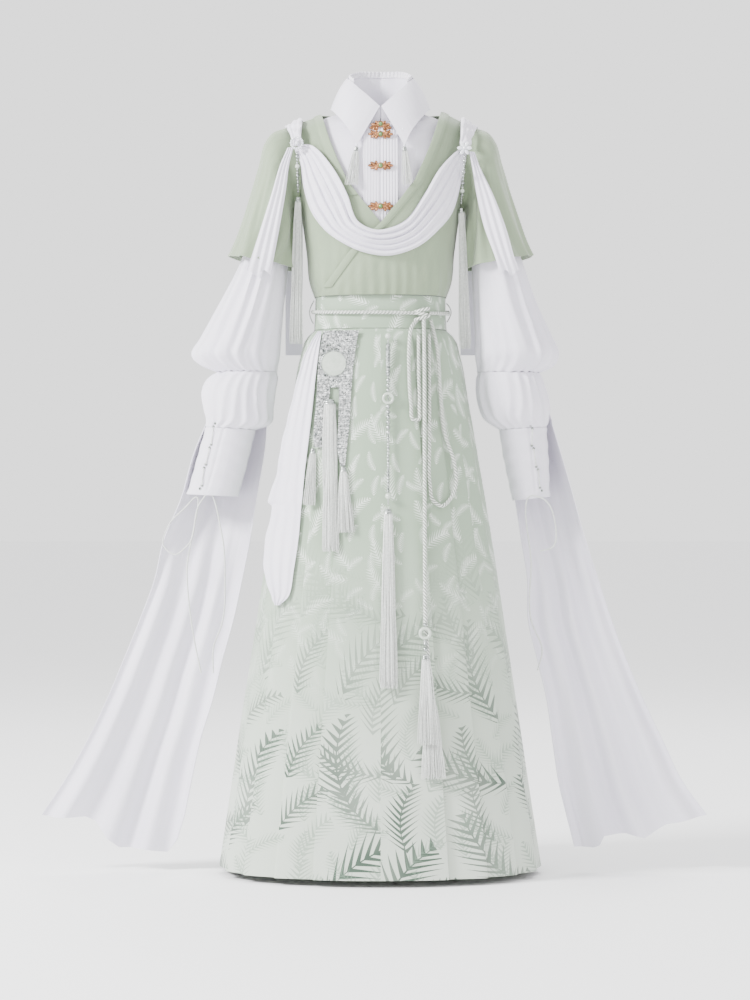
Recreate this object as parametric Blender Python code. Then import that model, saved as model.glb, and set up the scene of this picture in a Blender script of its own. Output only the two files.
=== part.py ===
"""Layered hanfu outfit, filled out with no wearer: blouse, crossed robe top, drape, pleated skirt and trims.

Metres, +Z up, the front faces -Y. The origin is the middle of the neck base, where a wearer holds the
garment up. Tables are in millimetres, and every cloth wall is a grid of outer points with an inner one.
"""
import bpy
import bmesh
import math
import numpy as np
from mathutils import Vector
from mathutils.bvhtree import BVHTree

MM = 0.001

# Driving dimensions, in metres.
CLOTH = 1.2 * MM            # wall of the chiffon and brocade
SEAM = 0.5 * MM             # gap between pieces that are sewn together
REST = 0.45 * MM            # gap under a piece that lies on another
BLOUSE_INSET = 7.0 * MM     # how far the blouse lies inside the robe top
WRAP = 5.2 * MM             # how far the over front lies outside the under front
ARM_SEAM = 1.1 * MM         # gap of the armhole seams, at the widest
ROBE_ARMPIT = 0.50          # bottom of the robe top's armhole, as a share of waist to shoulder
BLOUSE_ARMPIT = 0.56
PLACKET = (0.27, 0.868)     # foot and top of the pleated placket, as such shares
SLEEVE_SIDES = 14
WAIST_Z = -310 * MM         # seam of the robe top and the waistband
BAND_HEIGHT = 56 * MM
SHOULDER_X = 85 * MM
SHOULDER_Z = 10 * MM
SHOULDER_SLOPE = 0.38
SHOULDER_BEND = 40 * MM     # half width over which the shoulder line rounds at the neck
ROUND = 2.3                 # exponent of the torso's and skirt's sections

# Sections of the robe top: height as a share of waist to shoulder, half width, depth to front and back.
TORSO = {
    "v":     [0.00, 0.06, 0.25, 0.45, 0.60, 0.75, 0.88, 0.96, 1.00],
    "half":  [113.0, 120.0, 127.0, 135.0, 141.0, 146.0, 151.0, 154.0, 156.0],
    "front": [88.0, 94.0, 104.0, 111.0, 108.0, 92.0, 65.0, 36.0, 0.6],
    "back":  [88.0, 92.0, 96.0, 98.0, 96.0, 88.0, 67.0, 42.0, 0.6],
}

# Armhole: share of the half width where the panels end.
ARMHOLE = {
    "v": [0.50, 0.56, 0.65, 0.75, 0.88, 0.96, 1.00],
    "s": [1.00, 0.978, 0.94, 0.92, 0.94, 0.975, 1.00],
}

# Neck edge of the robe top, from the shoulder to the crossing and on to the waist.
ROBE_NECK = {
    "v": [0.00, 0.04, 0.22, 0.353, 0.47, 0.58, 0.70, 0.804, 0.889, 1.00],
    "x": [-100.0, -96.0, -51.0, 0.0, 31.0, 56.0, 72.0, 84.0, 92.0, 102.0],
}
UNDER_NECK = {
    "v": [0.00, 0.15, 0.353, 0.47, 0.58, 0.70, 0.804, 0.889, 1.00],
    "x": [-30.0, -24.0, 0.0, 31.0, 56.0, 72.0, 84.0, 92.0, 101.0],
}

# Neck seam of the blouse and fold and outer edge of its collar, by angle from the back.
NECK_SEAM = {
    "angle": [0, 45, 90, 120, 150, 178],
    "x": [0.0, 45.0, 65.0, 57.0, 34.0, 1.0],
    "v": [0.94, 0.975, 1.0, 0.96, 0.90, 0.872],
}
COLLAR = {
    "angle":  [0, 45, 90, 115, 130, 142, 155, 168, 178],
    "fold_x": [0.0, 40.0, 57.0, 51.0, 43.0, 34.0, 24.0, 10.0, 1.2],
    "fold_y": [55.0, 39.0, 0.0, -24.0, -36.0, -45.0, -52.0, -59.0, -61.0],
    "fold_z": [82.0, 80.0, 68.0, 60.5, 52.0, 43.0, 34.0, 20.5, 12.5],
    "edge_x": [0.0, 54.0, 86.0, 82.0, 76.0, 68.0, 58.0, 49.0, 40.5],
    "edge_y": [74.0, 54.0, 2.0, -24.0, -42.0, -58.0, -73.0, -84.0, -93.0],
    "edge_z": [22.0, 21.0, 14.0, 9.0, 1.0, -9.0, -23.0, -38.0, -58.0],
}

# Sleeve sections: outer and inner end in the front view, half depth.
CAP = {
    "out_x": [167, 184, 198, 208, 228, 249, 261],
    "out_z": [-19, -25, -42, -80, -150, -211, -238],
    "in_x":  [144, 146, 146, 145, 142, 140, 140],
    "in_z":  [-161, -167, -175, -187, -215, -243, -262],
    "depth": [46, 54, 60, 66, 72, 77, 79],
}
UPPER_LEFT = {
    "out_x": [168, 184, 205, 242, 275, 307, 321, 306, 280],
    "out_z": [-34, -60, -126, -251, -320, -382, -408, -424, -437],
    "in_x":  [146, 152, 154, 161, 168, 173, 175, 177, 178],
    "in_z":  [-146, -160, -188, -262, -335, -384, -409, -423, -437],
    "depth": [38, 46, 54, 63, 67, 71, 72, 62, 50],
}
UPPER_RIGHT = {
    "out_x": [168, 184, 205, 243, 266, 293, 303, 297, 273],
    "out_z": [-34, -60, -126, -251, -320, -380, -406, -424, -438],
    "in_x":  [146, 152, 154, 158, 163, 166, 166, 167, 167],
    "in_z":  [-146, -160, -188, -262, -335, -384, -409, -423, -438],
    "depth": [38, 46, 54, 63, 66, 69, 69, 60, 50],
}
PUFF_LEFT = {
    "out_x": [280, 297, 305, 303, 299, 300],
    "out_z": [-438, -451, -468, -499, -519, -532],
    "in_x":  [178, 177, 180, 184, 188, 215],
    "in_z":  [-438, -451, -468, -499, -525, -537],
    "depth": [50, 57, 60, 59, 52, 41],
}
PUFF_RIGHT = {
    "out_x": [273, 277, 285, 290, 289, 285],
    "out_z": [-439, -451, -475, -500, -519, -532],
    "in_x":  [167, 166, 166, 171, 178, 204],
    "in_z":  [-439, -451, -470, -499, -517, -537],
    "depth": [50, 56, 58, 58, 52, 41],
}
CUFF_LEFT = {
    "out_x": [300.3, 311, 322, 333],
    "out_z": [-532.8, -570, -610, -648],
    "in_x":  [215.3, 224, 234, 245],
    "in_z":  [-537.8, -575, -614, -652],
    "depth": [41, 39, 37, 36],
}
CUFF_RIGHT = {
    "out_x": [285.1, 288, 290, 291],
    "out_z": [-532.8, -570, -610, -652],
    "in_x":  [204.1, 210, 218, 227],
    "in_z":  [-537.8, -577, -617, -659],
    "depth": [41, 40, 39, 38],
}

# Trailing sleeves: both edges down from the puff, and the hem's dip across.
TRAIL_LEFT = {
    "z":     [-538, -588, -657, -726, -795, -863, -932, -1001, -1070, -1139, -1199],
    "out_x": [305, 326, 345, 374, 390, 415, 443, 472, 505, 544, 584],
    "in_x":  [194, 199, 212, 223, 237, 252, 271, 288, 309, 324, 336],
    "hem_u": [0.0, 0.1, 0.3, 0.375, 0.465, 0.535, 0.69, 0.875, 0.945, 1.0],
    "hem_dip": [0, 5, 4, 12, 43, 57, 59, 65, 43, 0],
}
TRAIL_RIGHT = {
    "z":     [-538, -588, -657, -726, -795, -863, -932, -1001, -1070, -1139, -1199],
    "out_x": [302, 316, 335, 354, 376, 398, 424, 453, 486, 519, 562],
    "in_x":  [214, 222, 232, 242, 252, 253, 269, 285, 295, 305, 319],
    "hem_u": [0.0, 0.28, 0.44, 0.57, 0.73, 0.76, 0.8, 0.94, 1.0],
    "hem_dip": [0, 17, 40, 33, 36, 52, 56, 55, 0],
}

# Skirt sections: height, half width, half depth and step of the pleats.
SKIRT = {
    "z":     [-366.9, -376, -410, -490, -640, -930, -1284],
    "half":  [114.5, 124, 136, 150, 176, 220.5, 274],
    "depth": [89.5, 96, 105.5, 118, 138.5, 176, 215],
    "step":  [1.0, 2.5, 4.0, 5.5, 6.5, 8.0, 9.0],
}
PANEL_ANGLE = math.radians(21.3)    # half of the flat front panel, and of the back one
SIDE_PLEATS = 8                     # knife pleats on each side
PLEAT_SHAPE = [(0.0, -0.5), (0.9, 0.5)]

# Chest drape between the shoulder rings: share along, upper edge and lower edge.
SWAG = {
    "u":     [0.0, 0.08, 0.2, 0.33, 0.43, 0.5, 0.58, 0.66, 0.76, 0.87, 0.95, 1.0],
    "up_x":  [-138, -116, -84, -56, -38, -12, 18, 45, 74, 101, 125, 137],
    "up_z":  [-52, -56, -92, -143, -188, -202, -199, -184, -142, -96, -69, -60],
    "low_x": [-146, -137, -129, -110, -78, -38, 12, 58, 98, 126, 139, 146],
    "low_z": [-62, -82, -134, -182, -215, -237, -246, -233, -201, -160, -106, -72],
}

# Arm tails of the drape, from the ring down over the cap sleeve to the arm.
TAIL_LEFT = {
    "z":     [-58, -90, -135, -190, -240, -272],
    "out_x": [158, 171, 183, 199, 214, 223],
    "in_x":  [148, 156, 162, 172, 182, 190],
}
TAIL_RIGHT = {
    "z":     [-66, -95, -140, -190, -240, -272],
    "out_x": [160, 170, 190, 208, 222, 232],
    "in_x":  [150, 156, 164, 176, 194, 206],
}

# Side streamer over the skirt: height, left edge and right edge.
STREAMER = {
    "z":     [-371, -400, -450, -510, -560, -610, -655, -672, -720, -775, -815, -834],
    "left":  [-107, -125, -140, -157, -167, -177, -191, -184, -196, -196, -187, -178],
    "right": [-100, -104, -110, -116, -122, -128, -132, -134, -138, -146, -153, -170],
}

# Sequin panel: height and four edges across, so that its lower part is two strips with a gap between.
SEQUIN_PANEL = {
    "z": [-371, -400, -430, -467, -500, -535, -568, -600],
    "a": [-96, -102, -105, -107, -109, -112, -112, -112],
    "b": [-76, -82, -85, -85, -89, -95, -99, -99],
    "c": [-57, -62, -66, -70, -70, -71, -72, -66],
    "d": [-37, -42, -46, -49, -51, -53, -57, -61],
}
PLATE_ROWS = 3              # rows of cells above the two strips
LEFT_STRIP_ROWS = 6         # rows down to the foot of the shorter strip

# Shoulder bands: places and directions of the part that lies on the shoulder, then the free fall.
SHOULDER_BAND = {
    "over": [
        # y, z, and the direction in which it is laid on
        (-60, -56, 1.0, 0.0), (-50, -30, 0.85, -0.5), (-25, -10, 0.4, -0.9), (0, 0, 0.0, -1.0),
        (25, -10, -0.4, -0.9), (52, -30, -0.8, -0.6), (70, -62, -1.0, -0.15),
    ],
    "fall_y": 84.0,
    "fall_z": [-110, -200, -300, -404],
}

# Frog clasps down the placket: height, half width and how far the wings drop.
CLASPS = {"z": [-15.7, -38.2, -93.7, -162.6], "half": [17.0, 19.5, 19.5, 19.5], "drop": [0.38, 0.0, 0.0, 0.0]}

# Tassels that lie against the garment: top and foot in the front view, head radius and spread of the foot.
TASSELS = {
    "collar_tassel_left":    (-40.5, -60.0, -48.5, -129.0, 4.0, 3.2),
    "collar_tassel_right":   (40.5, -60.0, 44.0, -129.0, 4.0, 2.6),
    "shoulder_tassel_left":  (-140.0, -140.0, -144.0, -396.0, 5.0, 2.4),
    "shoulder_tassel_right": (137.0, -158.0, 145.0, -404.0, 4.5, 2.3),
    "panel_tassel_left":     (-113.0, -570.0, -121.0, -668.0, 4.5, 2.4),
    "panel_tassel_middle":   (-85.5, -486.0, -84.0, -749.0, 9.0, 1.5),
    "panel_tassel_right":    (-62.5, -601.0, -59.0, -714.0, 5.0, 2.9),
    "centre_tassel":         (12.5, -670.0, 12.2, -976.0, 6.0, 2.4),
}

# Bead chains above some of the tassels: top place, bead radius and count.
CHAINS = {
    "shoulder_tassel_left": (-142.0, -66.0, 3.0, 9),
    "shoulder_tassel_right": (142.0, -75.0, 3.0, 10),
    "centre_tassel": (12.6, -377.0, 3.2, 18),
}

# Belt cord: stations in the front view (x, z) and the layer over the skirt in which they lie.
CORD = 6.5 * MM
BELT_BOW = [
    (62, -352, 0), (53, -364, 0), (48, -400, 0), (48, -450, 0), (51, -495, 0), (56.5, -523, 0), (62.5, -523, 0),
    (65, -500, 0), (64.5, -450, 0), (64, -380, 0),
]
BELT_LOOP = [
    (85, -352, 0), (95, -398, 0), (101, -480, 0), (108, -545, 0), (124, -596, 0), (127, -625, 0), (117, -655, 0),
    (102, -667, 0), (88, -658, 0), (82.5, -630, 0), (82, -560, 0), (82, -450, 0), (82, -378, 0),
]
BELT_END_A = [(73, -352, 1), (73.5, -400, 1), (73.5, -560, 1), (73.5, -700, 1), (73.5, -866, 1)]
BELT_END_B = [(73, -352, 0), (73.5, -400, 0), (73.5, -560, 0), (73.5, -700, 0), (75, -866, 0), (81, -948, 0)]

BELT_START = math.radians(36)       # where the belt cord's two ends meet at the bow
BELT_OPEN = math.radians(6)
BELT_TASSELS = [
    # name, top x and z, foot x and z, head radius, spread, stem above the head
    ("belt_tassel_long", 82.0, -949.0, 88.0, -1122.0, 6.0, 3.4, 30.0),
    ("belt_tassel_short", 74.0, -890.0, 78.0, -1066.0, 6.0, 2.9, 22.0),
]

# Thread loops that hold the belt cord at the sides of the waistband: stations in space.
LOOP_THREAD = 2.0 * MM
LOOP_LEFT = [(-114.2, 0, -314), (-119.0, 0, -323), (-122.2, 0, -334), (-119.4, 0, -346), (-115.4, 0, -354)]
LOOP_RIGHT = [(113.3, 9, -318), (118.4, 9, -324), (121.7, 9, -334), (118.6, 9, -344), (114.2, 9, -351)]

# Laces of the cuffs: stations in space.
LACE = 2.6 * MM
LACE_LEFT = [
    (-307, -36, -953), (-318, -35, -900), (-327, -36, -840), (-331, -38, -780), (-320, -42, -655), (-332, -43, -668),
    (-362, -40, -700), (-371, -38, -735), (-352, -37, -749), (-328, -41, -735), (-308, -44, -662), (-296, -42, -646),
    (-272, -40, -712), (-266, -38, -795), (-271, -37, -868), (-286, -36, -910), (-286, -36, -953),
]
LACE_RIGHT = [
    (273, -40, -744), (293, -40, -738), (298, -42, -696), (279, -45, -656), (264, -43, -650), (257, -42, -770),
    (257, -40, -862), (276, -38, -916), (268, -38, -948),
]

PIECES = []     # vertices and triangles of every finished piece, for what is laid on them later


def smooth(t, knots, values):
    """Smooth curve through values at the knots, read at t."""
    t = np.asarray(t, float)
    k = np.asarray(knots, float)
    v = np.asarray(values, float)
    slope = np.gradient(v, k)
    i = np.clip(np.searchsorted(k, t) - 1, 0, len(k) - 2)
    h = k[i + 1] - k[i]
    u = np.clip((t - k[i]) / h, 0, 1)
    start = (2 * u**3 - 3 * u**2 + 1) * v[i] + (u**3 - 2 * u**2 + u) * h * slope[i]
    end = (3 * u**2 - 2 * u**3) * v[i + 1] + (u**3 - u**2) * h * slope[i + 1]
    return start + end


def column(table, key, t, by):
    """A named column of a table in metres, read smoothly at t along the column `by`."""
    return smooth(t, table[by], table[key]) * MM


def unit(vectors):
    """Vectors at length one."""
    return vectors / np.maximum(np.linalg.norm(vectors, axis=-1, keepdims=True), 1e-12)


def points(x, y, z):
    """A grid of points from three arrays that broadcast together."""
    return np.stack(np.broadcast_arrays(x, y, z), axis=-1).astype(float)


def material(name, colour, roughness, metallic=0.0):
    """A plain Principled material."""
    found = bpy.data.materials.get(name)
    if found:
        return found
    made = bpy.data.materials.new(name)
    made.use_nodes = True
    shader = made.node_tree.nodes["Principled BSDF"]
    shader.inputs["Base Color"].default_value = (*colour, 1.0)
    shader.inputs["Roughness"].default_value = roughness
    shader.inputs["Metallic"].default_value = metallic
    made.diffuse_color = (*colour, 1.0)
    return made


def finish(name, vertices, triangles, look):
    """Make one object of a closed surface, faces outward, and remember it."""
    mesh = bpy.data.meshes.new(name)
    mesh.from_pydata([tuple(v) for v in vertices], [], [tuple(t) for t in triangles])
    form = bmesh.new()
    form.from_mesh(mesh)
    bmesh.ops.recalc_face_normals(form, faces=form.faces)
    form.to_mesh(mesh)
    form.free()
    mesh.materials.append(look)
    mesh.shade_smooth()
    made = bpy.data.objects.new(name, mesh)
    bpy.context.scene.collection.objects.link(made)
    PIECES.append((np.asarray(vertices, float), np.asarray(triangles, int)))
    return made


def cells(rows, columns, closed):
    """Corner numbers of each grid cell, as four arrays."""
    r = np.arange(rows - 1)[:, None]
    c = np.arange(columns if closed else columns - 1)[None, :]
    nxt = (c + 1) % columns
    return r * columns + c, r * columns + nxt, (r + 1) * columns + nxt, (r + 1) * columns + c


def wall(name, outer, inner, look, closed=False, keep=None):
    """Closed cloth wall between two grids of one size; closed joins the last column to the first.

    `keep` says which cells are cloth.
    """
    rows, columns = outer.shape[:2]
    count = rows * columns
    vertices = np.concatenate([outer.reshape(-1, 3), inner.reshape(-1, 3)])
    corners = np.stack([np.broadcast_to(part, (rows - 1, columns if closed else columns - 1))
                        for part in cells(rows, columns, closed)], axis=-1)
    corners = corners.reshape(-1, 4) if keep is None else corners[keep]
    a, b, c, d = corners.T
    faces = [np.stack([a, b, c], 1), np.stack([a, c, d], 1)]
    faces += [np.stack([a, c, b], 1) + count, np.stack([a, d, c], 1) + count]
    edges = np.concatenate([np.stack(pair, 1) for pair in ((a, b), (b, c), (c, d), (d, a))])
    known = set(map(tuple, edges.tolist()))
    rim = np.array([edge for edge in edges.tolist() if (edge[1], edge[0]) not in known])
    first, second = rim.T
    faces.append(np.stack([first, first + count, second], 1))
    faces.append(np.stack([second, first + count, second + count], 1))
    faces = np.concatenate(faces)
    used, numbers = np.unique(faces, return_inverse=True)
    return finish(name, vertices[used], numbers.reshape(-1, 3), look)


def grid_normals(grid, closed, toward):
    """Unit normals of a grid, turned to the side where `toward` (an array of vectors) points."""
    down = np.gradient(grid, axis=0)
    if closed:
        across = (np.roll(grid, -1, axis=1) - np.roll(grid, 1, axis=1)) / 2
    else:
        across = np.gradient(grid, axis=1)
    normal = unit(np.cross(down, across))
    sign = np.sign(np.sum(normal * toward, axis=-1, keepdims=True))
    sign[sign == 0] = 1
    return normal * sign


def tree():
    """Search tree of every piece made so far."""
    vertices = []
    faces = []
    start = 0
    for piece_vertices, piece_faces in PIECES:
        vertices += [Vector(v) for v in piece_vertices]
        faces += (piece_faces + start).tolist()
        start += len(piece_vertices)
    return BVHTree.FromPolygons(vertices, faces)


def settle(vertices, triangles, way, gap):
    """Shift along a way at which a piece comes to lie `gap` from what is there already.

    Rays start 0.3 m back from places all over its triangles, so the piece may start on either side, and
    others come back to the piece from places along the edges of what is there.
    """
    search = tree()
    way = Vector(way)
    start_back = 0.3
    back = -np.array(way) * start_back
    ways = []
    for corners in np.asarray(vertices)[np.asarray(triangles)]:
        longest = max(np.linalg.norm(corners - np.roll(corners, 1, axis=0), axis=1))
        steps = int(np.clip(longest / (4 * MM), 2, 24))
        for i in range(steps + 1):
            for j in range(steps + 1 - i):
                place = (corners[0] * i + corners[1] * j + corners[2] * (steps - i - j)) / steps
                hit = search.ray_cast(Vector(place + back), way)
                if hit[0] is not None:
                    ways.append(hit[3])
    moved = np.asarray(vertices) + back
    piece = BVHTree.FromPolygons([Vector(v) for v in moved], np.asarray(triangles).tolist())
    low = moved.min(axis=0) - CLOTH
    high = moved.max(axis=0) + CLOTH
    across = np.abs(np.array(way)) < 0.9
    part_way = np.linspace(0, 1, 12, endpoint=False)[:, None]
    for piece_vertices, piece_faces in PIECES:
        corners = piece_vertices[piece_faces][:, :, None]
        places = (corners + (np.roll(corners, -1, axis=1) - corners) * part_way).reshape(-1, 3)
        inside = np.all((places > low)[:, across] & (places < high)[:, across], axis=1)
        for place in places[inside]:
            hit = piece.ray_cast(Vector(place), -way)
            if hit[0] is not None:
                ways.append(hit[3])
    return np.array(way) * (min(ways, default=start_back) - start_back - gap)


def grid_faces(rows, columns, keep=None):
    """Triangles of an open grid."""
    corners = np.stack(np.broadcast_arrays(*cells(rows, columns, False)), axis=-1)
    a, b, c, d = (corners.reshape(-1, 4) if keep is None else corners[keep]).T
    return np.concatenate([np.stack([a, b, c], 1), np.stack([a, c, d], 1)])


def press(grid, toward, gap):
    """Move each point along its direction until it lies `gap` from what is there already.

    Each point looks from itself and from eight places half a cell beside it, and keeps the shortest way,
    so that the piece bridges hollows and clears ridges between its points.
    """
    search = tree()
    rows, columns = grid.shape[:2]
    apart = [np.linalg.norm(np.diff(grid, axis=a), axis=-1).mean() for a in (0, 1)]
    reach = min(0.6 * max(apart), 14 * MM)
    toward = unit(np.broadcast_to(toward, grid.shape))
    travel = np.full((rows, columns), np.nan)
    for r in range(rows):
        for c in range(columns):
            way = Vector(toward[r, c])
            side = way.orthogonal().normalized()
            up = way.cross(side)
            found = []
            for i, j in ((0, 0), (1, 0), (-1, 0), (0, 1), (0, -1), (0.7, 0.7), (-0.7, 0.7), (0.7, -0.7), (-0.7, -0.7)):
                start = Vector(grid[r, c]) + (side * i + up * j) * reach
                hit = search.ray_cast(start, way)
                if hit[0] is not None:
                    found.append(hit[3])
            if found:
                travel[r, c] = min(found)
    known = travel[~np.isnan(travel)]
    travel = np.where(np.isnan(travel), known.max(), travel)
    for _ in range(2):
        padded = np.pad(travel, 1, mode="edge")
        near = (padded[:-2, 1:-1] + padded[2:, 1:-1] + padded[1:-1, :-2] + padded[1:-1, 2:]) / 4
        travel = np.minimum(travel, near)
    return grid + toward * (travel - gap)[..., None]


def laid(name, grid, look, thickness=CLOTH, gap=REST, relief=0.0, toward=(0.0, 1.0, 0.0), keep=None):
    """A piece laid on what is there, from the front unless said otherwise, with a relief on its outer side."""
    toward = unit(np.asarray(toward, float))
    back = press(grid, toward, gap)
    back = back + settle(back.reshape(-1, 3), grid_faces(*grid.shape[:2], keep), toward, gap)
    rise = np.broadcast_to(thickness + np.asarray(relief), grid.shape[:2])
    front = back - toward * rise[..., None]
    return wall(name, front, back, look, keep=keep)


def edge_grid(table, rows, across, left="left", right="right", side=1.0):
    """Grid between two edges of a table by height, in the front view, 0.6 m before the garment."""
    z = smooth(np.linspace(0, 1, rows), np.linspace(0, 1, len(table["z"])), table["z"]) * MM
    keys = -np.asarray(table["z"], float)
    low = smooth(-z / MM, keys, table[left])[:, None] * MM
    high = smooth(-z / MM, keys, table[right])[:, None] * MM
    u = np.linspace(0, 1, across)[None, :]
    return points(side * (low + (high - low) * u), -0.6, z[:, None])


def cord(name, route, diameter, look, resolution=2, way=None):
    """A round cord as a tube along its points, moved along a way until it lies on what is there."""
    curve = bpy.data.curves.new(name, "CURVE")
    curve.dimensions = "3D"
    curve.bevel_depth = diameter / 2
    curve.bevel_resolution = resolution
    curve.use_fill_caps = True
    spline = curve.splines.new("POLY")
    spline.points.add(len(route) - 1)
    for place, point in zip(spline.points, route):
        place.co = (*point, 1.0)
    curve.materials.append(look)
    made = bpy.data.objects.new(name, curve)
    bpy.context.scene.collection.objects.link(made)
    shape = made.evaluated_get(bpy.context.evaluated_depsgraph_get()).to_mesh()
    shape.calc_loop_triangles()
    corners = np.array([tuple(v.co) for v in shape.vertices])
    triangles = np.array([tuple(t.vertices) for t in shape.loop_triangles])
    shift = np.zeros(3) if way is None else settle(corners, triangles, way, REST)
    for place in spline.points:
        place.co = (*(Vector(place.co[:3]) + Vector(shift)), 1.0)
    PIECES.append((corners + shift, triangles))
    return shift


def through(stations, step):
    """Smooth route through hand-chosen stations, with a point every step."""
    stations = np.asarray(stations, float)
    length = np.concatenate([[0], np.cumsum(np.linalg.norm(np.diff(stations, axis=0), axis=1))])
    t = np.linspace(0, length[-1], max(3, int(round(length[-1] / step)) + 1))
    return np.stack([smooth(t, length, stations[:, i]) for i in range(3)], 1)


def turned(name, centre, axis, profile, look, sides=10):
    """A body turned about an axis: profile rows are distance along the axis and radius."""
    axis = Vector(axis).normalized()
    side = axis.orthogonal().normalized()
    up = axis.cross(side)
    vertices = []
    for along, radius in profile:
        for i in range(sides):
            angle = 2 * math.pi * i / sides
            vertices.append(Vector(centre) + axis * along + (side * math.cos(angle) + up * math.sin(angle)) * radius)
    triangles = []
    rows = len(profile)
    for r in range(rows - 1):
        for i in range(sides):
            j = (i + 1) % sides
            a, b, c, d = r * sides + i, r * sides + j, (r + 1) * sides + j, (r + 1) * sides + i
            triangles += [(a, b, c), (a, c, d)]
    for end in (0, (rows - 1) * sides):
        triangles += [(end, end + i, end + i + 1) for i in range(1, sides - 1)]
    return finish(name, np.array([tuple(v) for v in vertices]), np.array(triangles), look)


def tassel(name, top, bottom, head_radius, look, spread=1.6, flat=0.75, stem=0.0, sides=7, head=9 * MM):
    """A tassel: a turned head whose foot carries a ring of strands and one in the middle, all one body.

    A stem above the head stands for the small beads on which it hangs.
    """
    top = Vector(top)
    bottom = Vector(bottom)
    down = (bottom - top).normalized()
    side = Vector((1, 0, 0)) - down * down.x
    side.normalize()
    front = down.cross(side)
    length = (bottom - top).length
    form = bmesh.new()
    rings = []
    head_top = top + down * stem
    places = [(0.0, 0.45), (0.3 * head, 0.85), (0.7 * head, 0.7), (head, 1.0)]
    if stem:
        places = [(-stem, 0.35), (-0.05 * head, 0.35)] + places[1:]
    for along, radius in places:
        ring = []
        for i in range(sides):
            angle = 2 * math.pi * i / sides
            offset = side * math.cos(angle) + front * math.sin(angle) * flat
            ring.append(form.verts.new(head_top + down * along + offset * radius * head_radius))
        rings.append(ring)
    middle = []
    for i in range(sides):
        angle = 2 * math.pi * i / sides
        offset = side * math.cos(angle) + front * math.sin(angle) * flat
        middle.append(form.verts.new(head_top + down * head + offset * 0.5 * head_radius))
    form.faces.new(rings[0])
    for upper, lower in zip(rings, rings[1:]):
        for i in range(sides):
            j = (i + 1) % sides
            form.faces.new((upper[i], upper[j], lower[j], lower[i]))
    roots = []
    for i in range(sides):
        j = (i + 1) % sides
        roots.append(form.faces.new((rings[-1][i], rings[-1][j], middle[j], middle[i])))
    roots.append(form.faces.new(middle))
    bmesh.ops.recalc_face_normals(form, faces=form.faces)
    bmesh.ops.inset_individual(form, faces=roots, thickness=0.1 * head_radius)
    strands = bmesh.ops.extrude_discrete_faces(form, faces=roots)["faces"]
    for number, face in enumerate(strands):
        middle_point = face.calc_center_median()
        away = middle_point - (head_top + down * head)
        end = middle_point + down * (length - stem - head) * (1 - 0.03 * (number % 3)) + away * (spread - 1)
        for vertex in face.verts:
            vertex.co = end + (vertex.co - middle_point) * 0.8 * spread
    bmesh.ops.triangulate(form, faces=form.faces)
    form.verts.index_update()
    vertices = np.array([tuple(v.co) for v in form.verts])
    triangles = np.array([[v.index for v in f.verts] for f in form.faces])
    form.free()
    shift = settle(vertices, triangles, (0.0, 1.0, 0.0), REST)
    finish(name, vertices + shift, triangles, look)
    return top + Vector(shift)


WHITE = ("white_chiffon", (0.87, 0.85, 0.9), 0.75)
SAGE = ("sage_chiffon", (0.56, 0.62, 0.5), 0.7)
BROCADE = ("sage_brocade", (0.66, 0.71, 0.65), 0.55)
SATIN = ("white_cord", (0.85, 0.86, 0.82), 0.5)
GOLD = ("gold", (0.72, 0.42, 0.2), 0.35, 1.0)
SILVER = ("silver", (0.72, 0.73, 0.72), 0.3, 1.0)
JADE = ("pale_jade", (0.78, 0.83, 0.76), 0.3)


def shoulder_height(x):
    """Height of the shoulder line over x."""
    return SHOULDER_Z - SHOULDER_SLOPE * (np.hypot(x, SHOULDER_BEND) - math.hypot(SHOULDER_X, SHOULDER_BEND))


def torso_base(s, v, back):
    """Point of the robe top's form: s from -1 to 1 across, v from waist 0 to shoulder 1."""
    half = column(TORSO, "half", v, "v")
    depth = column(TORSO, "back" if back else "front", v, "v")
    x = s * half
    y = depth * (1 - np.minimum(np.abs(s), 0.9999) ** ROUND) ** (1 / ROUND)
    z = WAIST_Z + v * (shoulder_height(x) - WAIST_Z)
    return points(x, y if back else -y, z)


def torso(s, v, back=False, out=0.0):
    """The same point moved out along the form's normal, which stays in the seam's plane at a seam."""
    s, v = np.broadcast_arrays(np.asarray(s, float), np.asarray(v, float))
    step = 0.004
    s0, s1 = np.clip(s - step, -1, 1), np.clip(s + step, -1, 1)
    v0, v1 = np.clip(v - step, 0, 1), np.clip(v + step, 0, 1)
    across = torso_base(s1, v, back) - torso_base(s0, v, back)
    rise = torso_base(s, v1, back) - torso_base(s, v0, back)
    normal = unit(np.cross(across, rise))
    place = torso_base(s, v, back)
    away = place * np.array([1.0, 1.0, 0.0])
    normal = normal * np.where(np.sum(normal * away, -1, keepdims=True) < 0, -1, 1)
    fade = np.clip(np.abs(place[..., 1]) / (14 * MM), 0, 1)
    normal[..., 1] *= fade
    normal = unit(normal)
    seam = SEAM / 2 if back else -SEAM / 2
    moved = place + normal * np.broadcast_to(out, s.shape)[..., None]
    limit = np.abs(moved[..., 1])
    moved[..., 1] = limit * (1 if back else -1) + seam
    moved[..., 2] = np.maximum(moved[..., 2], WAIST_Z)
    return moved


def share(x, v):
    """Share of the half width at which x lies."""
    return x / column(TORSO, "half", v, "v")


def torso_panel(name, look, s, v, back, out, thickness=CLOTH):
    """A panel of the upper body on the torso form."""
    outer = torso(s, v, back, out)
    inner = torso(s, v, back, out - thickness)
    wall(name, outer, inner, look)


def blouse_out(v):
    """How far the blouse lies inside the form: close at the waist, freer above."""
    return -(CLOTH + 1.6 * MM) - (BLOUSE_INSET - CLOTH - 1.6 * MM) * np.clip(np.asarray(v) * 5, 0, 1)


def armhole(v, low):
    """Share of the half width where a panel ends: the side seam up to the armpit `low`, then the armhole."""
    scaled = 0.5 + (np.asarray(v) - low) / (1 - low) * 0.5
    return np.interp(scaled, ARMHOLE["v"], ARMHOLE["s"])


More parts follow.
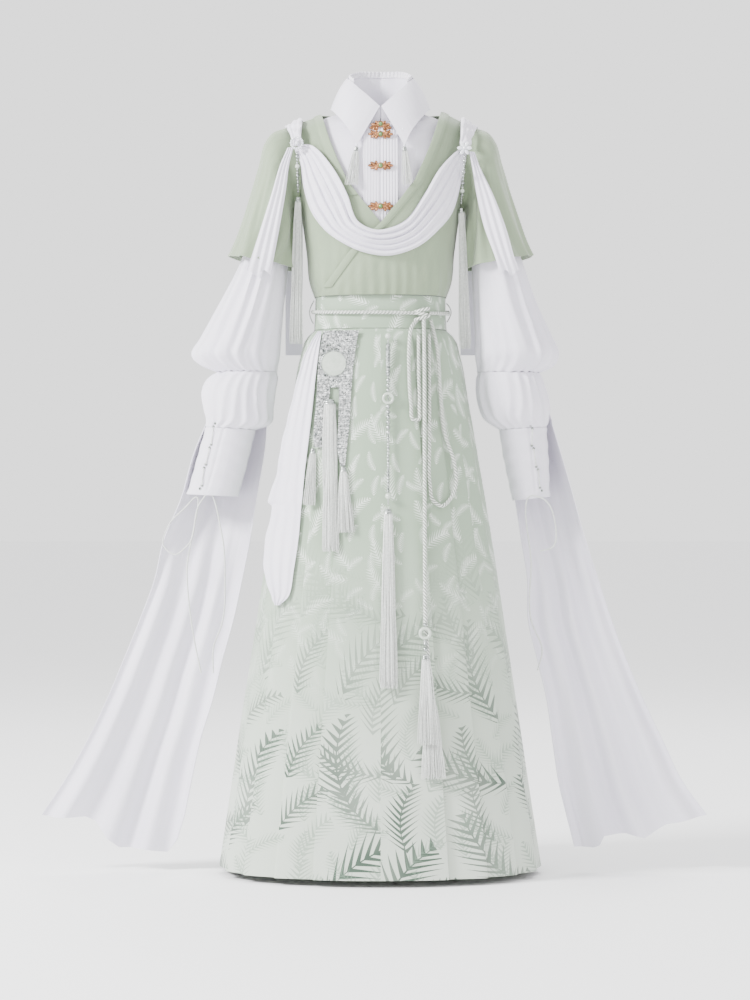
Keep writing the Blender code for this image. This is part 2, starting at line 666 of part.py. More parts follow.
def arm_height(turn, low):
    """Height on the armhole edge at a turn round the sleeve: 0 at the shoulder, pi at the armpit."""
    return (1 + low) / 2 + (1 - low) / 2 * np.cos(turn)


def body_rows(low):
    """Heights of an upper-body panel's rows: a few below the armpit, then one for each side of the sleeve."""
    above = arm_height(np.linspace(math.pi, 0, SLEEVE_SIDES // 2 + 1), low)
    return np.concatenate([np.array([0.0, 0.1, 0.26, 0.48, 0.74]) * low, above])


def back_grid(neck_x, neck_v, low):
    """Shares across and heights of a back panel whose top follows the neck and the shoulders."""
    c = np.sin(np.linspace(-math.pi / 2, math.pi / 2, 9))[None, :]
    top = np.ones_like(c)
    for _ in range(4):
        x = np.abs(c) * armhole(top, low) * column(TORSO, "half", top, "v") / MM
        top = np.interp(x, neck_x, neck_v)
    rows = body_rows(low)[:, None]
    return c, np.where(rows > low, low + (rows - low) * (top - low) / (1 - low), rows)


def blouse_rows():
    """Heights of the rows of the blouse fronts, with the corners of the neck seam."""
    return np.unique(np.concatenate([body_rows(BLOUSE_ARMPIT), NECK_SEAM["v"][-2:]]))


def blouse():
    """White blouse body: two fronts, the back and the pleated placket."""
    look = material(*WHITE)
    rows = blouse_rows()[:, None]
    knots = [0.0] + NECK_SEAM["v"][:1:-1]
    edge = [SEAM / MM / 2] + NECK_SEAM["x"][:1:-1]
    inner = np.interp(rows, knots, edge) * MM
    inner = np.where(rows <= NECK_SEAM["v"][-1], SEAM / 2, inner)
    t = np.sin(np.linspace(0, math.pi / 2, 7))[None, :]
    start = share(inner, rows)
    s = start + (armhole(rows, BLOUSE_ARMPIT) - start) * t
    for side, label in ((-1, "left"), (1, "right")):
        torso_panel(f"blouse_front_{label}", look, side * s, rows, False, blouse_out(rows))
    c, v = back_grid([0, 45, 65], [0.94, 0.975, 1.0], BLOUSE_ARMPIT)
    torso_panel("blouse_back", look, c * armhole(v, BLOUSE_ARMPIT), v, True, blouse_out(v))


def placket():
    """Pleated placket on the blouse front: narrow tucks raised on its outer side."""
    half = 30 * MM
    tucks = 6
    x = np.linspace(-half, half, 2 * tucks + 1)[None, :]
    rows = blouse_rows()
    low, high = PLACKET
    far = (rows > low + 0.05) & (rows < high - 0.01) & (np.diff(rows, prepend=0.0) > 0.03)
    v = np.concatenate([[low], rows[far], [high]])[:, None]
    out = blouse_out(v) + REST + CLOTH + 0.5 * MM
    ridge = np.tile([0.0, 1.0], tucks + 1)[: 2 * tucks + 1][None, :] * 1.0 * MM
    s = share(x, v)
    outer = torso(s, v, False, out + ridge)
    inner = torso(s, v, False, out - CLOTH)
    wall("blouse_placket", outer, inner, material(*WHITE))


def seam_point(angle, lift):
    """Neck seam of the blouse at an angle from the back, lifted along the form's height."""
    turn = np.abs(angle)
    x = np.interp(turn, NECK_SEAM["angle"], NECK_SEAM["x"]) * MM
    v = np.interp(turn, NECK_SEAM["angle"], NECK_SEAM["v"])
    front = torso(share(x, v), v, False, -BLOUSE_INSET)
    back = torso(share(x, v), v, True, -BLOUSE_INSET)
    place = np.where((turn > 90)[..., None], front, back)
    place[..., 0] *= np.sign(angle)
    place[..., 2] += lift
    return place


def collar():
    """Collar stand round the neck, open at the front, and the pointed fall folded over it."""
    look = material(*WHITE)
    front_angles = np.array([178, 171, 162, 152, 141, 129, 116, 103])
    angle = np.concatenate([-front_angles, np.linspace(-88, 88, 7), front_angles[::-1]])
    turn = np.abs(angle)
    side = np.sign(angle)
    fold = points(side * column(COLLAR, "fold_x", turn, "angle"), column(COLLAR, "fold_y", turn, "angle"),
                  column(COLLAR, "fold_z", turn, "angle"))
    base = seam_point(angle, 0.85 * MM)
    flat = fold * np.array([1, 1, 0])
    inward = -unit(flat)
    top = fold + inward * (CLOTH + REST)
    top[:, 2] -= 1.5 * MM
    w = np.linspace(0, 1, 3)[:, None, None]
    low = base + inward * MM
    outer = low[None] * (1 - w) + top[None] * w
    inner = outer + inward[None] * CLOTH
    wall("collar_stand", outer, inner, look)

    edge = points(side * column(COLLAR, "edge_x", turn, "angle"), column(COLLAR, "edge_y", turn, "angle"),
                  column(COLLAR, "edge_z", turn, "angle"))
    outward = unit((fold + edge) * np.array([1, 1, 0]))
    w = np.linspace(0, 1, 4)[:, None, None]
    bulge = np.sin(math.pi * w ** 0.7) * 4 * MM * np.clip((180 - turn) / 40, 0.1, 1)[None, :, None]
    outer = fold[None] * (1 - w) + edge[None] * w + outward[None] * bulge
    normal = grid_normals(outer, False, np.broadcast_to(outward, outer.shape))
    wall("collar_fall", outer, outer - normal * CLOTH, look)


def robe_top():
    """Sage crossed robe top: under front, over front, back and the two neck bands."""
    look = material(*SAGE)
    rows = body_rows(ROBE_ARMPIT)[:, None]
    band = 14 * MM
    for neck, label, side, across in ((UNDER_NECK, "under", -1, 7), (ROBE_NECK, "over", 1, 9)):
        x = np.interp(rows, neck["v"], neck["x"]) * MM
        first = np.concatenate([x, x + band / 2, x + band], axis=1)
        start = share(first, rows)
        t = np.sin(np.linspace(0, math.pi / 2, across))[None, 1:]
        rest = start[:, 2:] + (armhole(rows, ROBE_ARMPIT) - start[:, 2:]) * t
        s = np.concatenate([start, rest], axis=1)
        lift = WRAP * np.clip((1 - s) / 0.25, 0, 1) if label == "over" else np.zeros_like(s)
        torso_panel(f"robe_front_{label}", look, side * s, rows, False, lift)
        keep = slice(5, None) if label == "under" else slice(1, None)     # rows where the band shows
        strip = torso(side * s[keep, :3], rows[keep], False, lift[keep, :3] + REST + CLOTH)
        under = torso(side * s[keep, :3], rows[keep], False, lift[keep, :3] + REST)
        wall(f"neck_band_{label}", strip, under, look)
    c, v = back_grid([0, 60, 102], [0.93, 0.96, 1.0], ROBE_ARMPIT)
    torso_panel("robe_back", look, c * armhole(v, ROBE_ARMPIT), v, True, 0.0)


def arm_loop(side, turn, out, low):
    """Armhole edge as a loop: turn 0 at the shoulder, pi at the armpit, first down the front."""
    v = arm_height(turn, low)
    s = armhole(v, low)
    front = torso(side * s, v, False, out)
    back = torso(side * s, v, True, out)
    return np.where((turn <= math.pi)[:, None], front, back)


def tube_rows(table, side, turn, rows=None, flutter=0.0, waves=7):
    """Rings of a sleeve from its table: ends in the front view and half depth."""
    count = len(table["out_x"])
    t = np.linspace(0, count - 1, rows or count)
    knots = np.arange(count)
    out = points(side * smooth(t, knots, table["out_x"]), 0.0, smooth(t, knots, table["out_z"])) * MM
    into = points(side * smooth(t, knots, table["in_x"]), 0.0, smooth(t, knots, table["in_z"])) * MM
    depth = smooth(t, knots, table["depth"])[:, None] * MM
    centre = (out + into)[:, None] / 2
    arm = (out - into)[:, None] / 2
    swell = 1 + flutter * (t[:, None] / (count - 1)) ** 2 * np.sin(waves * turn)[None, :]
    ring = centre + arm * (np.cos(turn)[None, :] * swell)[..., None]
    ring[..., 1] -= depth * np.sin(turn)[None, :] * swell
    return ring


def sleeve(name, look, outer):
    """A sleeve tube with its wall inside the outer rings."""
    middle = outer.mean(axis=1, keepdims=True)
    normal = grid_normals(outer, True, outer - middle)
    wall(name, outer, outer - normal * CLOTH, look, closed=True)


def sleeves():
    """Cap sleeves, balloon uppers, puffs and cuffs of both arms."""
    turn = np.arange(SLEEVE_SIDES) * 2 * math.pi / SLEEVE_SIDES
    tables = (("left", -1, UPPER_LEFT, PUFF_LEFT, CUFF_LEFT), ("right", 1, UPPER_RIGHT, PUFF_RIGHT, CUFF_RIGHT))
    for label, side, upper, puff, cuff in tables:
        start = arm_loop(side, turn, 0.0, ROBE_ARMPIT) + np.array([side * ARM_SEAM, 0, 0])
        rings = tube_rows(CAP, side, turn, flutter=0.05)
        sleeve(f"cap_sleeve_{label}", material(*SAGE), np.concatenate([start[None], rings]))
        start = arm_loop(side, turn, -BLOUSE_INSET, BLOUSE_ARMPIT) + np.array([side * 1.5 * ARM_SEAM, 0, 0])
        rings = tube_rows(upper, side, turn)
        sleeve(f"sleeve_upper_{label}", material(*WHITE), np.concatenate([start[None], rings]))
        sleeve(f"sleeve_puff_{label}", material(*WHITE), tube_rows(puff, side, turn) + np.array([0, 0, 0.5 * MM]))
        sleeve(f"cuff_{label}", material(*WHITE), tube_rows(cuff, side, turn) + np.array([0, 0, 0.8 * MM]))


def trailing_sleeves():
    """Long flared sleeves hung from the puffs behind the cuffs, with folds that deepen to a pointed hem."""
    columns = 13
    rows = 8
    k = np.linspace(0, 1, columns)[None, :]
    w = np.linspace(0, 1, rows)[:, None]
    arms = (("left", -1, TRAIL_LEFT, 4 * MM, 8 * MM), ("right", 1, TRAIL_RIGHT, 33 * MM, 0.0))
    for label, side, table, inner_y, corner in arms:
        knots = np.linspace(0, 1, len(table["z"]))
        z = smooth(w, knots, table["z"]) * MM
        out_x = smooth(w, knots, table["out_x"]) * MM
        in_x = smooth(w, knots, table["in_x"]) * MM
        u = (1 - np.cos(math.pi * k)) / 2 * (1 - w) + k * w
        x = out_x + (in_x - out_x) * u
        below = np.clip((-z - 0.60) / 0.25, 0, 1)
        below = below * below * (3 - 2 * below)
        behind = (42 + 12 * np.clip(w * 12, 0, 1)) * MM * (1 - below) + 14 * MM * below
        fold = 9 * MM * below * np.sin(2 * math.pi * 3.5 * u + 1.0) * (0.4 + 0.6 * w)
        edge_y = 4 * MM + (inner_y - 4 * MM) * k * (1 - below)
        y = behind * np.sin(math.pi * k) + fold + edge_y
        z = z + corner * k ** 3 * (1 - w) ** 6
        dip = np.interp(u, table["hem_u"], table["hem_dip"]) * MM
        grid = points(side * x, y, z - dip * w ** 3)
        normal = grid_normals(grid, False, np.array([0.0, 1.0, 0.0]))
        inner = grid - normal * CLOTH
        shift = settle(inner.reshape(-1, 3), grid_faces(rows, columns), (0.0, -1.0, 0.0), REST)
        wall(f"trailing_sleeve_{label}", grid + shift, inner + shift, material(*WHITE))


def skirt_point(angle, z, out=0.0):
    """Point of the skirt at an angle from the front centre and a height, with its pleats."""
    keys = -np.asarray(SKIRT["z"], float)
    half = smooth(-z / MM, keys, SKIRT["half"]) * MM
    depth = smooth(-z / MM, keys, SKIRT["depth"]) * MM
    step = smooth(-z / MM, keys, SKIRT["step"]) * MM
    angle = np.mod(angle + math.pi, 2 * math.pi) - math.pi
    from_front = np.abs(angle)
    pitch = (math.pi - 2 * PANEL_ANGLE) / SIDE_PLEATS
    along = (from_front - PANEL_ANGLE) / pitch
    inside = (along > 1e-9) & (along < SIDE_PLEATS - 1e-9)
    part = np.mod(along, 1.0)
    knots = [p for p, _ in PLEAT_SHAPE] + [1.0]
    heights = [h for _, h in PLEAT_SHAPE] + [PLEAT_SHAPE[0][1]]
    pleat = np.where(inside, np.interp(part, knots, heights), 0.35)
    far = half + step * pleat + out
    deep = depth + step * pleat + out
    sine, cosine = np.sin(angle), np.cos(angle)
    x = far * np.sign(sine) * np.abs(sine) ** (2 / ROUND)
    y = -deep * np.sign(cosine) * np.abs(cosine) ** (2 / ROUND)
    return points(x, y, z)


def skirt_angles():
    """Angles of the skirt's columns: even on the flat panels, and the corners of each pleat between."""
    pitch = (math.pi - 2 * PANEL_ANGLE) / SIDE_PLEATS
    front = list(np.linspace(-PANEL_ANGLE, PANEL_ANGLE, 5))
    pleats = [PANEL_ANGLE + pitch * (n + p) for n in range(SIDE_PLEATS) for p, _ in PLEAT_SHAPE]
    pleats[0] += 0.02
    back = list(np.linspace(math.pi - PANEL_ANGLE, math.pi + PANEL_ANGLE, 5))
    mirrored = [2 * math.pi - a for a in reversed(pleats)]
    return np.array(front + pleats + back + mirrored)


def skirt():
    """Waistband and pleated skirt."""
    look = material(*BROCADE)
    turn = np.arange(32) * 2 * math.pi / 32
    sine, cosine = np.sin(turn), np.cos(turn)
    rows = np.array([WAIST_Z - 0.5 * MM, WAIST_Z - 30 * MM, WAIST_Z - BAND_HEIGHT])[:, None]
    half = np.array([112.5, 112.8, 114.5])[:, None] * MM
    depth = np.array([87.5, 87.8, 89.5])[:, None] * MM
    shape_x = np.sign(sine) * np.abs(sine) ** (2 / ROUND)
    shape_y = -np.sign(cosine) * np.abs(cosine) ** (2 / ROUND)
    outer = points(half * shape_x, depth * shape_y, rows)
    thick = 2.0 * MM
    inner = points((half - thick) * shape_x, (depth - thick) * shape_y, rows)
    wall("waistband", outer, inner, look, closed=True)

    angles = skirt_angles()[None, :]
    z = np.array(SKIRT["z"])[:, None] * MM
    outer = skirt_point(angles, z)
    inner = skirt_point(angles, z, -CLOTH)
    wall("skirt", outer, inner, look, closed=True)


def drape():
    """White shoulder drape: swag across the chest, bands over the shoulders, tails over the arms."""
    look = material(*WHITE)
    u = np.linspace(0, 1, 17)[None, :]
    w = np.linspace(0, 1, 9)[:, None]
    up_x, up_z = column(SWAG, "up_x", u, "u"), column(SWAG, "up_z", u, "u")
    low_x, low_z = column(SWAG, "low_x", u, "u"), column(SWAG, "low_z", u, "u")
    grid = points(up_x + (low_x - up_x) * w, -0.6, up_z + (low_z - up_z) * w)
    ends = np.sin(math.pi * u) ** 0.5
    relief = (1 + 4.5 * (0.5 - 0.5 * np.cos(2 * math.pi * 4 * w))) * MM * np.maximum(ends, 0.15)
    laid("chest_drape", grid, look, relief=relief)

    for label, side, table in (("left", -1, TAIL_LEFT), ("right", 1, TAIL_RIGHT)):
        grid = edge_grid(table, 9, 5, "out_x", "in_x", side)
        across = np.linspace(0, 1, 5)[None, :]
        relief = 2.2 * MM * (0.5 - 0.5 * np.cos(2 * math.pi * 2 * across)) * np.ones((9, 1))
        laid(f"arm_tail_{label}", grid, look, relief=relief)


def shoulder_bands():
    """Bands of the drape over each shoulder, from the ring to the back, where they hang free."""
    look = material(*WHITE)
    over = np.array(SHOULDER_BAND["over"], float)
    width = np.linspace(-0.5, 0.5, 5)[None, :]
    for label, side, middle in (("left", -1, 148), ("right", 1, 152)):
        x = side * (middle + width * 32) * MM
        toward = unit(points(0.0, over[:, 2:3], over[:, 3:4]) * np.ones((1, 5, 1)))
        start = points(x, over[:, 0:1] * MM, over[:, 1:2] * MM) - toward * 0.4
        back = press(start, toward, 1.25 * MM)
        fall = np.array(SHOULDER_BAND["fall_z"], float)[:, None] * MM
        hang = points(side * (middle + 3 + width * 30) * MM, SHOULDER_BAND["fall_y"] * MM, fall)
        rest = np.concatenate([back, hang])
        ways = np.concatenate([toward, np.broadcast_to(np.array([0.0, -1.0, 0.0]), hang.shape)])
        ridge = 1.6 * MM * (0.5 - 0.5 * np.cos(2 * math.pi * 2 * (width + 0.5)))[..., None]
        wall(f"shoulder_band_{label}", rest - ways * (CLOTH + ridge), rest, look)


def streamer():
    """White side streamer over the skirt, with a ruffled edge."""
    grid = edge_grid(STREAMER, 12, 4)
    across = np.linspace(0, 1, 4)[None, :]
    down = np.linspace(0, 1, 12)[:, None]
    relief = 2.5 * MM * (0.5 + 0.5 * np.sin(2 * math.pi * (5 * down + across)))
    laid("side_streamer", grid, material(*WHITE), relief=relief)


def rest_line(x0, z0, x1, z1, half_width, gap):
    """A straight line from the first place to the second, just in front of what lies behind it."""
    search = tree()
    count = 14
    depths = []
    for t in np.linspace(0, 1, count):
        nearest = []
        for aside in np.linspace(-half_width, half_width, 9) * (0.4 + 0.6 * t):
            start = Vector((x0 + (x1 - x0) * t + aside, -0.6, z0 + (z1 - z0) * t))
            hit = search.ray_cast(start, Vector((0, 1, 0)))
            if hit[0] is not None:
                nearest.append(hit[0].y)
        depths.append(min(nearest) if nearest else 0.0)
    t = np.linspace(0, 1, count)
    slope = depths[-1] - depths[0]
    level = min(depths[i] - slope * t[i] for i in range(count))
    return Vector((x0, level - gap, z0)), Vector((x1, level + slope - gap, z1))


def tassels():
    """The eight tassels that lie against the garment."""
    look = material(*SATIN)
    for name, (x0, z0, x1, z1, head, spread) in TASSELS.items():
        foot = head * spread
        top, bottom = rest_line(x0 * MM, z0 * MM, x1 * MM, z1 * MM, foot * MM, (foot * 0.4 + 0.8) * MM)
        top = tassel(name, top, bottom, head * MM, look, spread=spread, flat=0.4)
        if name in CHAINS:
            start_x, start_z, radius, count = CHAINS[name]
            last = top + Vector((0, 0, 2 * SEAM))
            first = clear_start(start_x * MM, start_z * MM, last, radius * MM)
            beads(name.replace("tassel", "chain"), first, last, radius * MM, count, material(*SILVER))


def clear_start(x, z, last, radius):
    """Start of a straight chain to `last` which lies just in front of what is behind it."""
    search = tree()
    depths = [0.0]
    for t in np.linspace(0, 0.92, 48):
        for aside in (-radius, 0.0, radius):
            start = Vector((x + (last.x - x) * t + aside, -0.6, z + (last.z - z) * t))
            hit = search.ray_cast(start, Vector((0, 1, 0)))
            if hit[0] is not None:
                depths.append((hit[0].y - radius - REST - last.y * t) / (1 - t))
    return Vector((x, min(depths), z))


def plate(name, x, z, half, height, thickness, look, drop=0.0, sides=12, pinch=0.0, dome=0.0):
    """A flat ornament facing the front: an outline with pinched waist, its wings dropped, over a flat back."""
    turn = np.arange(sides) * 2 * math.pi / sides
    reach = np.abs(np.cos(turn))
    dx = half * np.cos(turn)
    dz = height * np.sin(turn) * (1 - pinch + pinch * np.sin(math.pi * reach)) - drop * np.abs(dx)
    rows = ((0.25, thickness + dome), (0.34, thickness), (1.0, thickness * 0.7), (1.0, 0.0))
    rings = [points(x + dx * share_out, -rise, z + dz * share_out) for share_out, rise in rows]
    vertices = np.concatenate(rings)
    a, b, c, d = (part.ravel() for part in cells(len(rows), sides, True))
    faces = [np.stack([a, b, c], 1), np.stack([a, c, d], 1)]
    last = (len(rows) - 1) * sides
    vertices = np.concatenate([vertices, [[x, -thickness - dome * 1.2, z], [x, 0.0, z]]])
    first = np.arange(sides)
    second = np.roll(first, -1)
    tip = len(vertices) - 2
    faces.append(np.stack([first, second, np.full(sides, tip)], 1))
    faces.append(np.stack([last + first, last + second, np.full(sides, tip + 1)], 1))
    faces = np.concatenate(faces)
    shift = settle(vertices, faces, (0.0, 1.0, 0.0), REST)
    finish(name, vertices + shift, faces, look)
    return shift[1]


def beads(name, a, b, radius, count, look, sides=5, thin=0.45):
    """A string of beads as one turned body from a to b."""
    a, b = Vector(a), Vector(b)
    length = (b - a).length
    profile = [(0.0, radius * thin)]
    for n in range(count):
        start = length * n / count
        pitch = length / count
        profile += [(start + pitch * 0.5, radius), (start + pitch, radius * thin)]
    turned(name, a, b - a, profile, look, sides)


def ornaments():
    """Clasps, shoulder rings and bead chains, the sequin panel with its jade disc, and the centre chain."""
    gold = material(*GOLD)
    silver = material(*SILVER)
    for n in range(4):
        plate(f"clasp_{n + 1}", 0.0, CLASPS["z"][n] * MM, CLASPS["half"][n] * MM, 8 * MM, 2 * MM, gold,
              drop=CLASPS["drop"][n], pinch=0.5, dome=2.5 * MM)
    for label, x, z in (("left", -142, -52), ("right", 142, -61)):
        plate(f"shoulder_ring_{label}", x * MM, z * MM, 13 * MM, 13 * MM, 3 * MM, silver, dome=2 * MM)

    z = np.array(SEQUIN_PANEL["z"], float)[:, None] * MM
    across = np.stack([SEQUIN_PANEL[key] for key in "abcd"], axis=1) * MM
    keep = np.ones((len(z) - 1, 3), bool)
    keep[PLATE_ROWS:, 1] = False
    keep[LEFT_STRIP_ROWS:, 0] = False
    laid("sequin_panel", points(across, -0.6, z), silver, thickness=1.5 * MM, keep=keep)
    plate("jade_disc", -79 * MM, -427.5 * MM, 22.5 * MM, 22.5 * MM, 3.5 * MM, material(*JADE), sides=16)


def skirt_front(x, z, out):
    """The skirt's outermost depth over a place in the front view, moved out."""
    keys = -np.asarray(SKIRT["z"], float)
    swell = 0.5 * smooth(-z / MM, keys, SKIRT["step"]) * MM + out
    half = smooth(-z / MM, keys, SKIRT["half"]) * MM + swell
    depth = smooth(-z / MM, keys, SKIRT["depth"]) * MM + swell
    return -depth * (1 - np.abs(x / half) ** ROUND) ** (1 / ROUND)


def belt_route(stations):
    """Route of a hanging belt strand over the skirt, from its stations in the front view."""
    route = []
    for x, z, layer in stations:
        out = CORD / 2 + 1.2 * MM + layer * (CORD + 0.6 * MM)
        route.append((x * MM, skirt_front(x * MM, z * MM - 14 * MM, out), z * MM))
    return through(route, 4 * CORD)


def cords():
    """Belt cord, its bow, its two ends with the jade bead and tassels, and the laces of the cuffs."""
    look = material(*SATIN)
    out = CORD / 2 + REST
    turn = np.linspace(BELT_START, BELT_START + 2 * math.pi - 2 * BELT_OPEN, 27) + BELT_OPEN
    sine, cosine = np.sin(turn), np.cos(turn)
    x = (113 * MM + out) * np.sign(sine) * np.abs(sine) ** (2 / ROUND)
    y = -(88 * MM + out) * np.sign(cosine) * np.abs(cosine) ** (2 / ROUND)
    z = -334 * MM - 6 * MM * cosine - 3 * MM * np.maximum(sine, 0) * (cosine > 0)
    cord("belt_cord", points(x, y, z), CORD, look)
    routes = (("belt_bow_left", BELT_BOW), ("belt_bow_right", BELT_LOOP), ("belt_end_short", BELT_END_A),
              ("belt_end_long", BELT_END_B))
    ends = {}
    for name, stations in routes:
        route = belt_route(stations)
        ends[name] = Vector(route[-1] + cord(name, route, CORD, look, way=(0.0, 1.0, 0.0)))
    cord("belt_loop_left", through(np.array(LOOP_LEFT) * MM, 4 * LOOP_THREAD), LOOP_THREAD, look)
    cord("belt_loop_right", through(np.array(LOOP_RIGHT) * MM, 4 * LOOP_THREAD), LOOP_THREAD, look)
    cord("cuff_lace_left", through(np.array(LACE_LEFT) * MM, 9 * LACE), LACE, look, way=(0.0, 1.0, 0.0))
    cord("cuff_lace_right", through(np.array(LACE_RIGHT) * MM, 9 * LACE), LACE, look, way=(0.0, 1.0, 0.0))
    below = ends["belt_end_short"]
    plate("belt_jade", below.x, below.z - 11.8 * MM, 11 * MM, 11 * MM, 5 * MM, material(*JADE), sides=14)
    for name, x0, z0, x1, z1, head, spread, stem in BELT_TASSELS:
        top, bottom = rest_line(x0 * MM, z0 * MM, x1 * MM, z1 * MM, head * spread * MM, (head * spread * 0.3 + 1) * MM)
        tassel(name, top, bottom, head * MM, look, spread=spread, flat=0.3, stem=stem * MM)


def build():
    """Every piece, from the body outward."""
    for item in list(bpy.data.objects):
        bpy.data.objects.remove(item)
    blouse()
    placket()
    collar()
    robe_top()
    sleeves()
    trailing_sleeves()
    skirt()
    drape()
    shoulder_bands()
    streamer()
    ornaments()
    tassels()
    cords()


build()
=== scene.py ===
"""Looks of the layered hanfu outfit: fine cloth, cords, tassels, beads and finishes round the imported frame.

Metres, +Z up, the front faces -Y, and the origin is the middle of the neck base. Cloth is worked out from
the same cuts as the frame's solids, on finer grids, with its folds, gathers and weave.
"""

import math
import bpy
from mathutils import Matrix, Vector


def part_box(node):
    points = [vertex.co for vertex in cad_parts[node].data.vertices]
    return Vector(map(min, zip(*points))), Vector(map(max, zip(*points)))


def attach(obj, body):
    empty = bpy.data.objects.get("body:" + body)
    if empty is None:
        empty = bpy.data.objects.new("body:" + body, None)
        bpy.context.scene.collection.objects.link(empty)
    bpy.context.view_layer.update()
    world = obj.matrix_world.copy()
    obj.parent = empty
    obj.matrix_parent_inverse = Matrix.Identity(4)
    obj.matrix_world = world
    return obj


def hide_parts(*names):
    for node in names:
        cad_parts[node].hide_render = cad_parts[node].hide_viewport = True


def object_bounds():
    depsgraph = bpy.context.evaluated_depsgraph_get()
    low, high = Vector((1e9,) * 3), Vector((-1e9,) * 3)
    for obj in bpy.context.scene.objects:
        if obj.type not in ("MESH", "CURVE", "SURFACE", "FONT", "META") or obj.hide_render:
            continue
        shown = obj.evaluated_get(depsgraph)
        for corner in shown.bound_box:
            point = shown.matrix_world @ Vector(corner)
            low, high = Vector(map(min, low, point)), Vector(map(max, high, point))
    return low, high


bl_info = {
    "name": "Layered hanfu outfit",
    "version": (1, 0, 0),
    "blender": (4, 5, 0),
    "location": "View3D > Sidebar > Outfit",
    "description": "Builds the fine cloth, cords, tassels and trims of a layered hanfu outfit",
    "category": "Add Mesh",
}

import bmesh
import bpy
import numpy as np

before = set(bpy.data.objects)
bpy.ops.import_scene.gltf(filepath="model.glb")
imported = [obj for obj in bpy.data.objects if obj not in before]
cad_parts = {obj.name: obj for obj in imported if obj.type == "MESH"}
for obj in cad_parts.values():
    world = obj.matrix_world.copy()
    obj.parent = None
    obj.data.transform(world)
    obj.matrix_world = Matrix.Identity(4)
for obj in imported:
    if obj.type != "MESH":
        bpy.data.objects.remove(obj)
CAD_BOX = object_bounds()

MM = 0.001

# Driving dimensions of the cut, in metres.
CLOTH = 1.2 * MM
SEAM = 0.5 * MM
REST = 0.45 * MM
BLOUSE_INSET = 7.0 * MM
WRAP = 5.2 * MM
ARM_SEAM = 1.1 * MM
ROBE_ARMPIT = 0.50
BLOUSE_ARMPIT = 0.56
PLACKET = (0.27, 0.868)
WAIST_Z = -310 * MM
BAND_HEIGHT = 56 * MM
SHOULDER_X = 85 * MM
SHOULDER_Z = 10 * MM
SHOULDER_SLOPE = 0.38
SHOULDER_BEND = 40 * MM
ROUND = 2.3
BAND_WIDTH = 14 * MM

# The photograph's frame: the view that the camera repeats.
PIXEL = 1.72 * MM
CENTRE_PX = 380.5
FRAME_MIDDLE = 375
CAMERA_DISTANCE = 5.0
CAMERA_Z = -0.657
SENSOR = 36.0
FRAME_PIXELS = 1000

# Cut of the upper body, in millimetres: share of waist to shoulder, half width, depth to front and back.
TORSO = {
    "v":     [0.00, 0.06, 0.25, 0.45, 0.60, 0.75, 0.88, 0.96, 1.00],
    "half":  [113.0, 120.0, 127.0, 135.0, 141.0, 146.0, 151.0, 154.0, 156.0],
    "front": [88.0, 94.0, 104.0, 111.0, 108.0, 92.0, 65.0, 36.0, 0.6],
    "back":  [88.0, 92.0, 96.0, 98.0, 96.0, 88.0, 67.0, 42.0, 0.6],
}
ARMHOLE = {
    "v": [0.50, 0.56, 0.65, 0.75, 0.88, 0.96, 1.00],
    "s": [1.00, 0.978, 0.94, 0.92, 0.94, 0.975, 1.00],
}
ROBE_NECK = {
    "v": [0.00, 0.04, 0.22, 0.353, 0.47, 0.58, 0.70, 0.804, 0.889, 1.00],
    "x": [-100.0, -96.0, -51.0, 0.0, 31.0, 56.0, 72.0, 84.0, 92.0, 102.0],
}
UNDER_NECK = {
    "v": [0.00, 0.15, 0.353, 0.47, 0.58, 0.70, 0.804, 0.889, 1.00],
    "x": [-30.0, -24.0, 0.0, 31.0, 56.0, 72.0, 84.0, 92.0, 101.0],
}
NECK_SEAM = {
    "angle": [0, 45, 90, 120, 150, 178],
    "x": [0.0, 45.0, 65.0, 57.0, 34.0, 1.0],
    "v": [0.94, 0.975, 1.0, 0.96, 0.90, 0.872],
}
COLLAR = {
    "angle":  [0, 45, 90, 115, 130, 142, 155, 168, 178],
    "fold_x": [0.0, 40.0, 57.0, 51.0, 43.0, 34.0, 24.0, 10.0, 1.2],
    "fold_y": [55.0, 39.0, 0.0, -24.0, -36.0, -45.0, -52.0, -59.0, -61.0],
    "fold_z": [82.0, 80.0, 68.0, 60.5, 52.0, 43.0, 34.0, 20.5, 12.5],
    "edge_x": [0.0, 54.0, 86.0, 82.0, 76.0, 68.0, 58.0, 49.0, 40.5],
    "edge_y": [74.0, 54.0, 2.0, -24.0, -42.0, -58.0, -73.0, -84.0, -93.0],
    "edge_z": [22.0, 21.0, 14.0, 9.0, 1.0, -9.0, -23.0, -38.0, -58.0],
}

# Sleeves: outer and inner end of each ring in the front view, half depth.
CAP = {
    "out_x": [167, 184, 198, 208, 228, 249, 261],
    "out_z": [-19, -25, -42, -80, -150, -211, -238],
    "in_x":  [144, 146, 146, 145, 142, 140, 140],
    "in_z":  [-161, -167, -175, -187, -215, -243, -262],
    "depth": [46, 54, 60, 66, 72, 77, 79],
}
UPPER_LEFT = {
    "out_x": [168, 184, 205, 242, 275, 307, 321, 306, 280],
    "out_z": [-34, -60, -126, -251, -320, -382, -408, -424, -437],
    "in_x":  [146, 152, 154, 161, 168, 173, 175, 177, 178],
    "in_z":  [-146, -160, -188, -262, -335, -384, -409, -423, -437],
    "depth": [38, 46, 54, 63, 67, 71, 72, 62, 50],
}
UPPER_RIGHT = {
    "out_x": [168, 184, 205, 243, 266, 293, 303, 297, 273],
    "out_z": [-34, -60, -126, -251, -320, -380, -406, -424, -438],
    "in_x":  [146, 152, 154, 158, 163, 166, 166, 167, 167],
    "in_z":  [-146, -160, -188, -262, -335, -384, -409, -423, -438],
    "depth": [38, 46, 54, 63, 66, 69, 69, 60, 50],
}
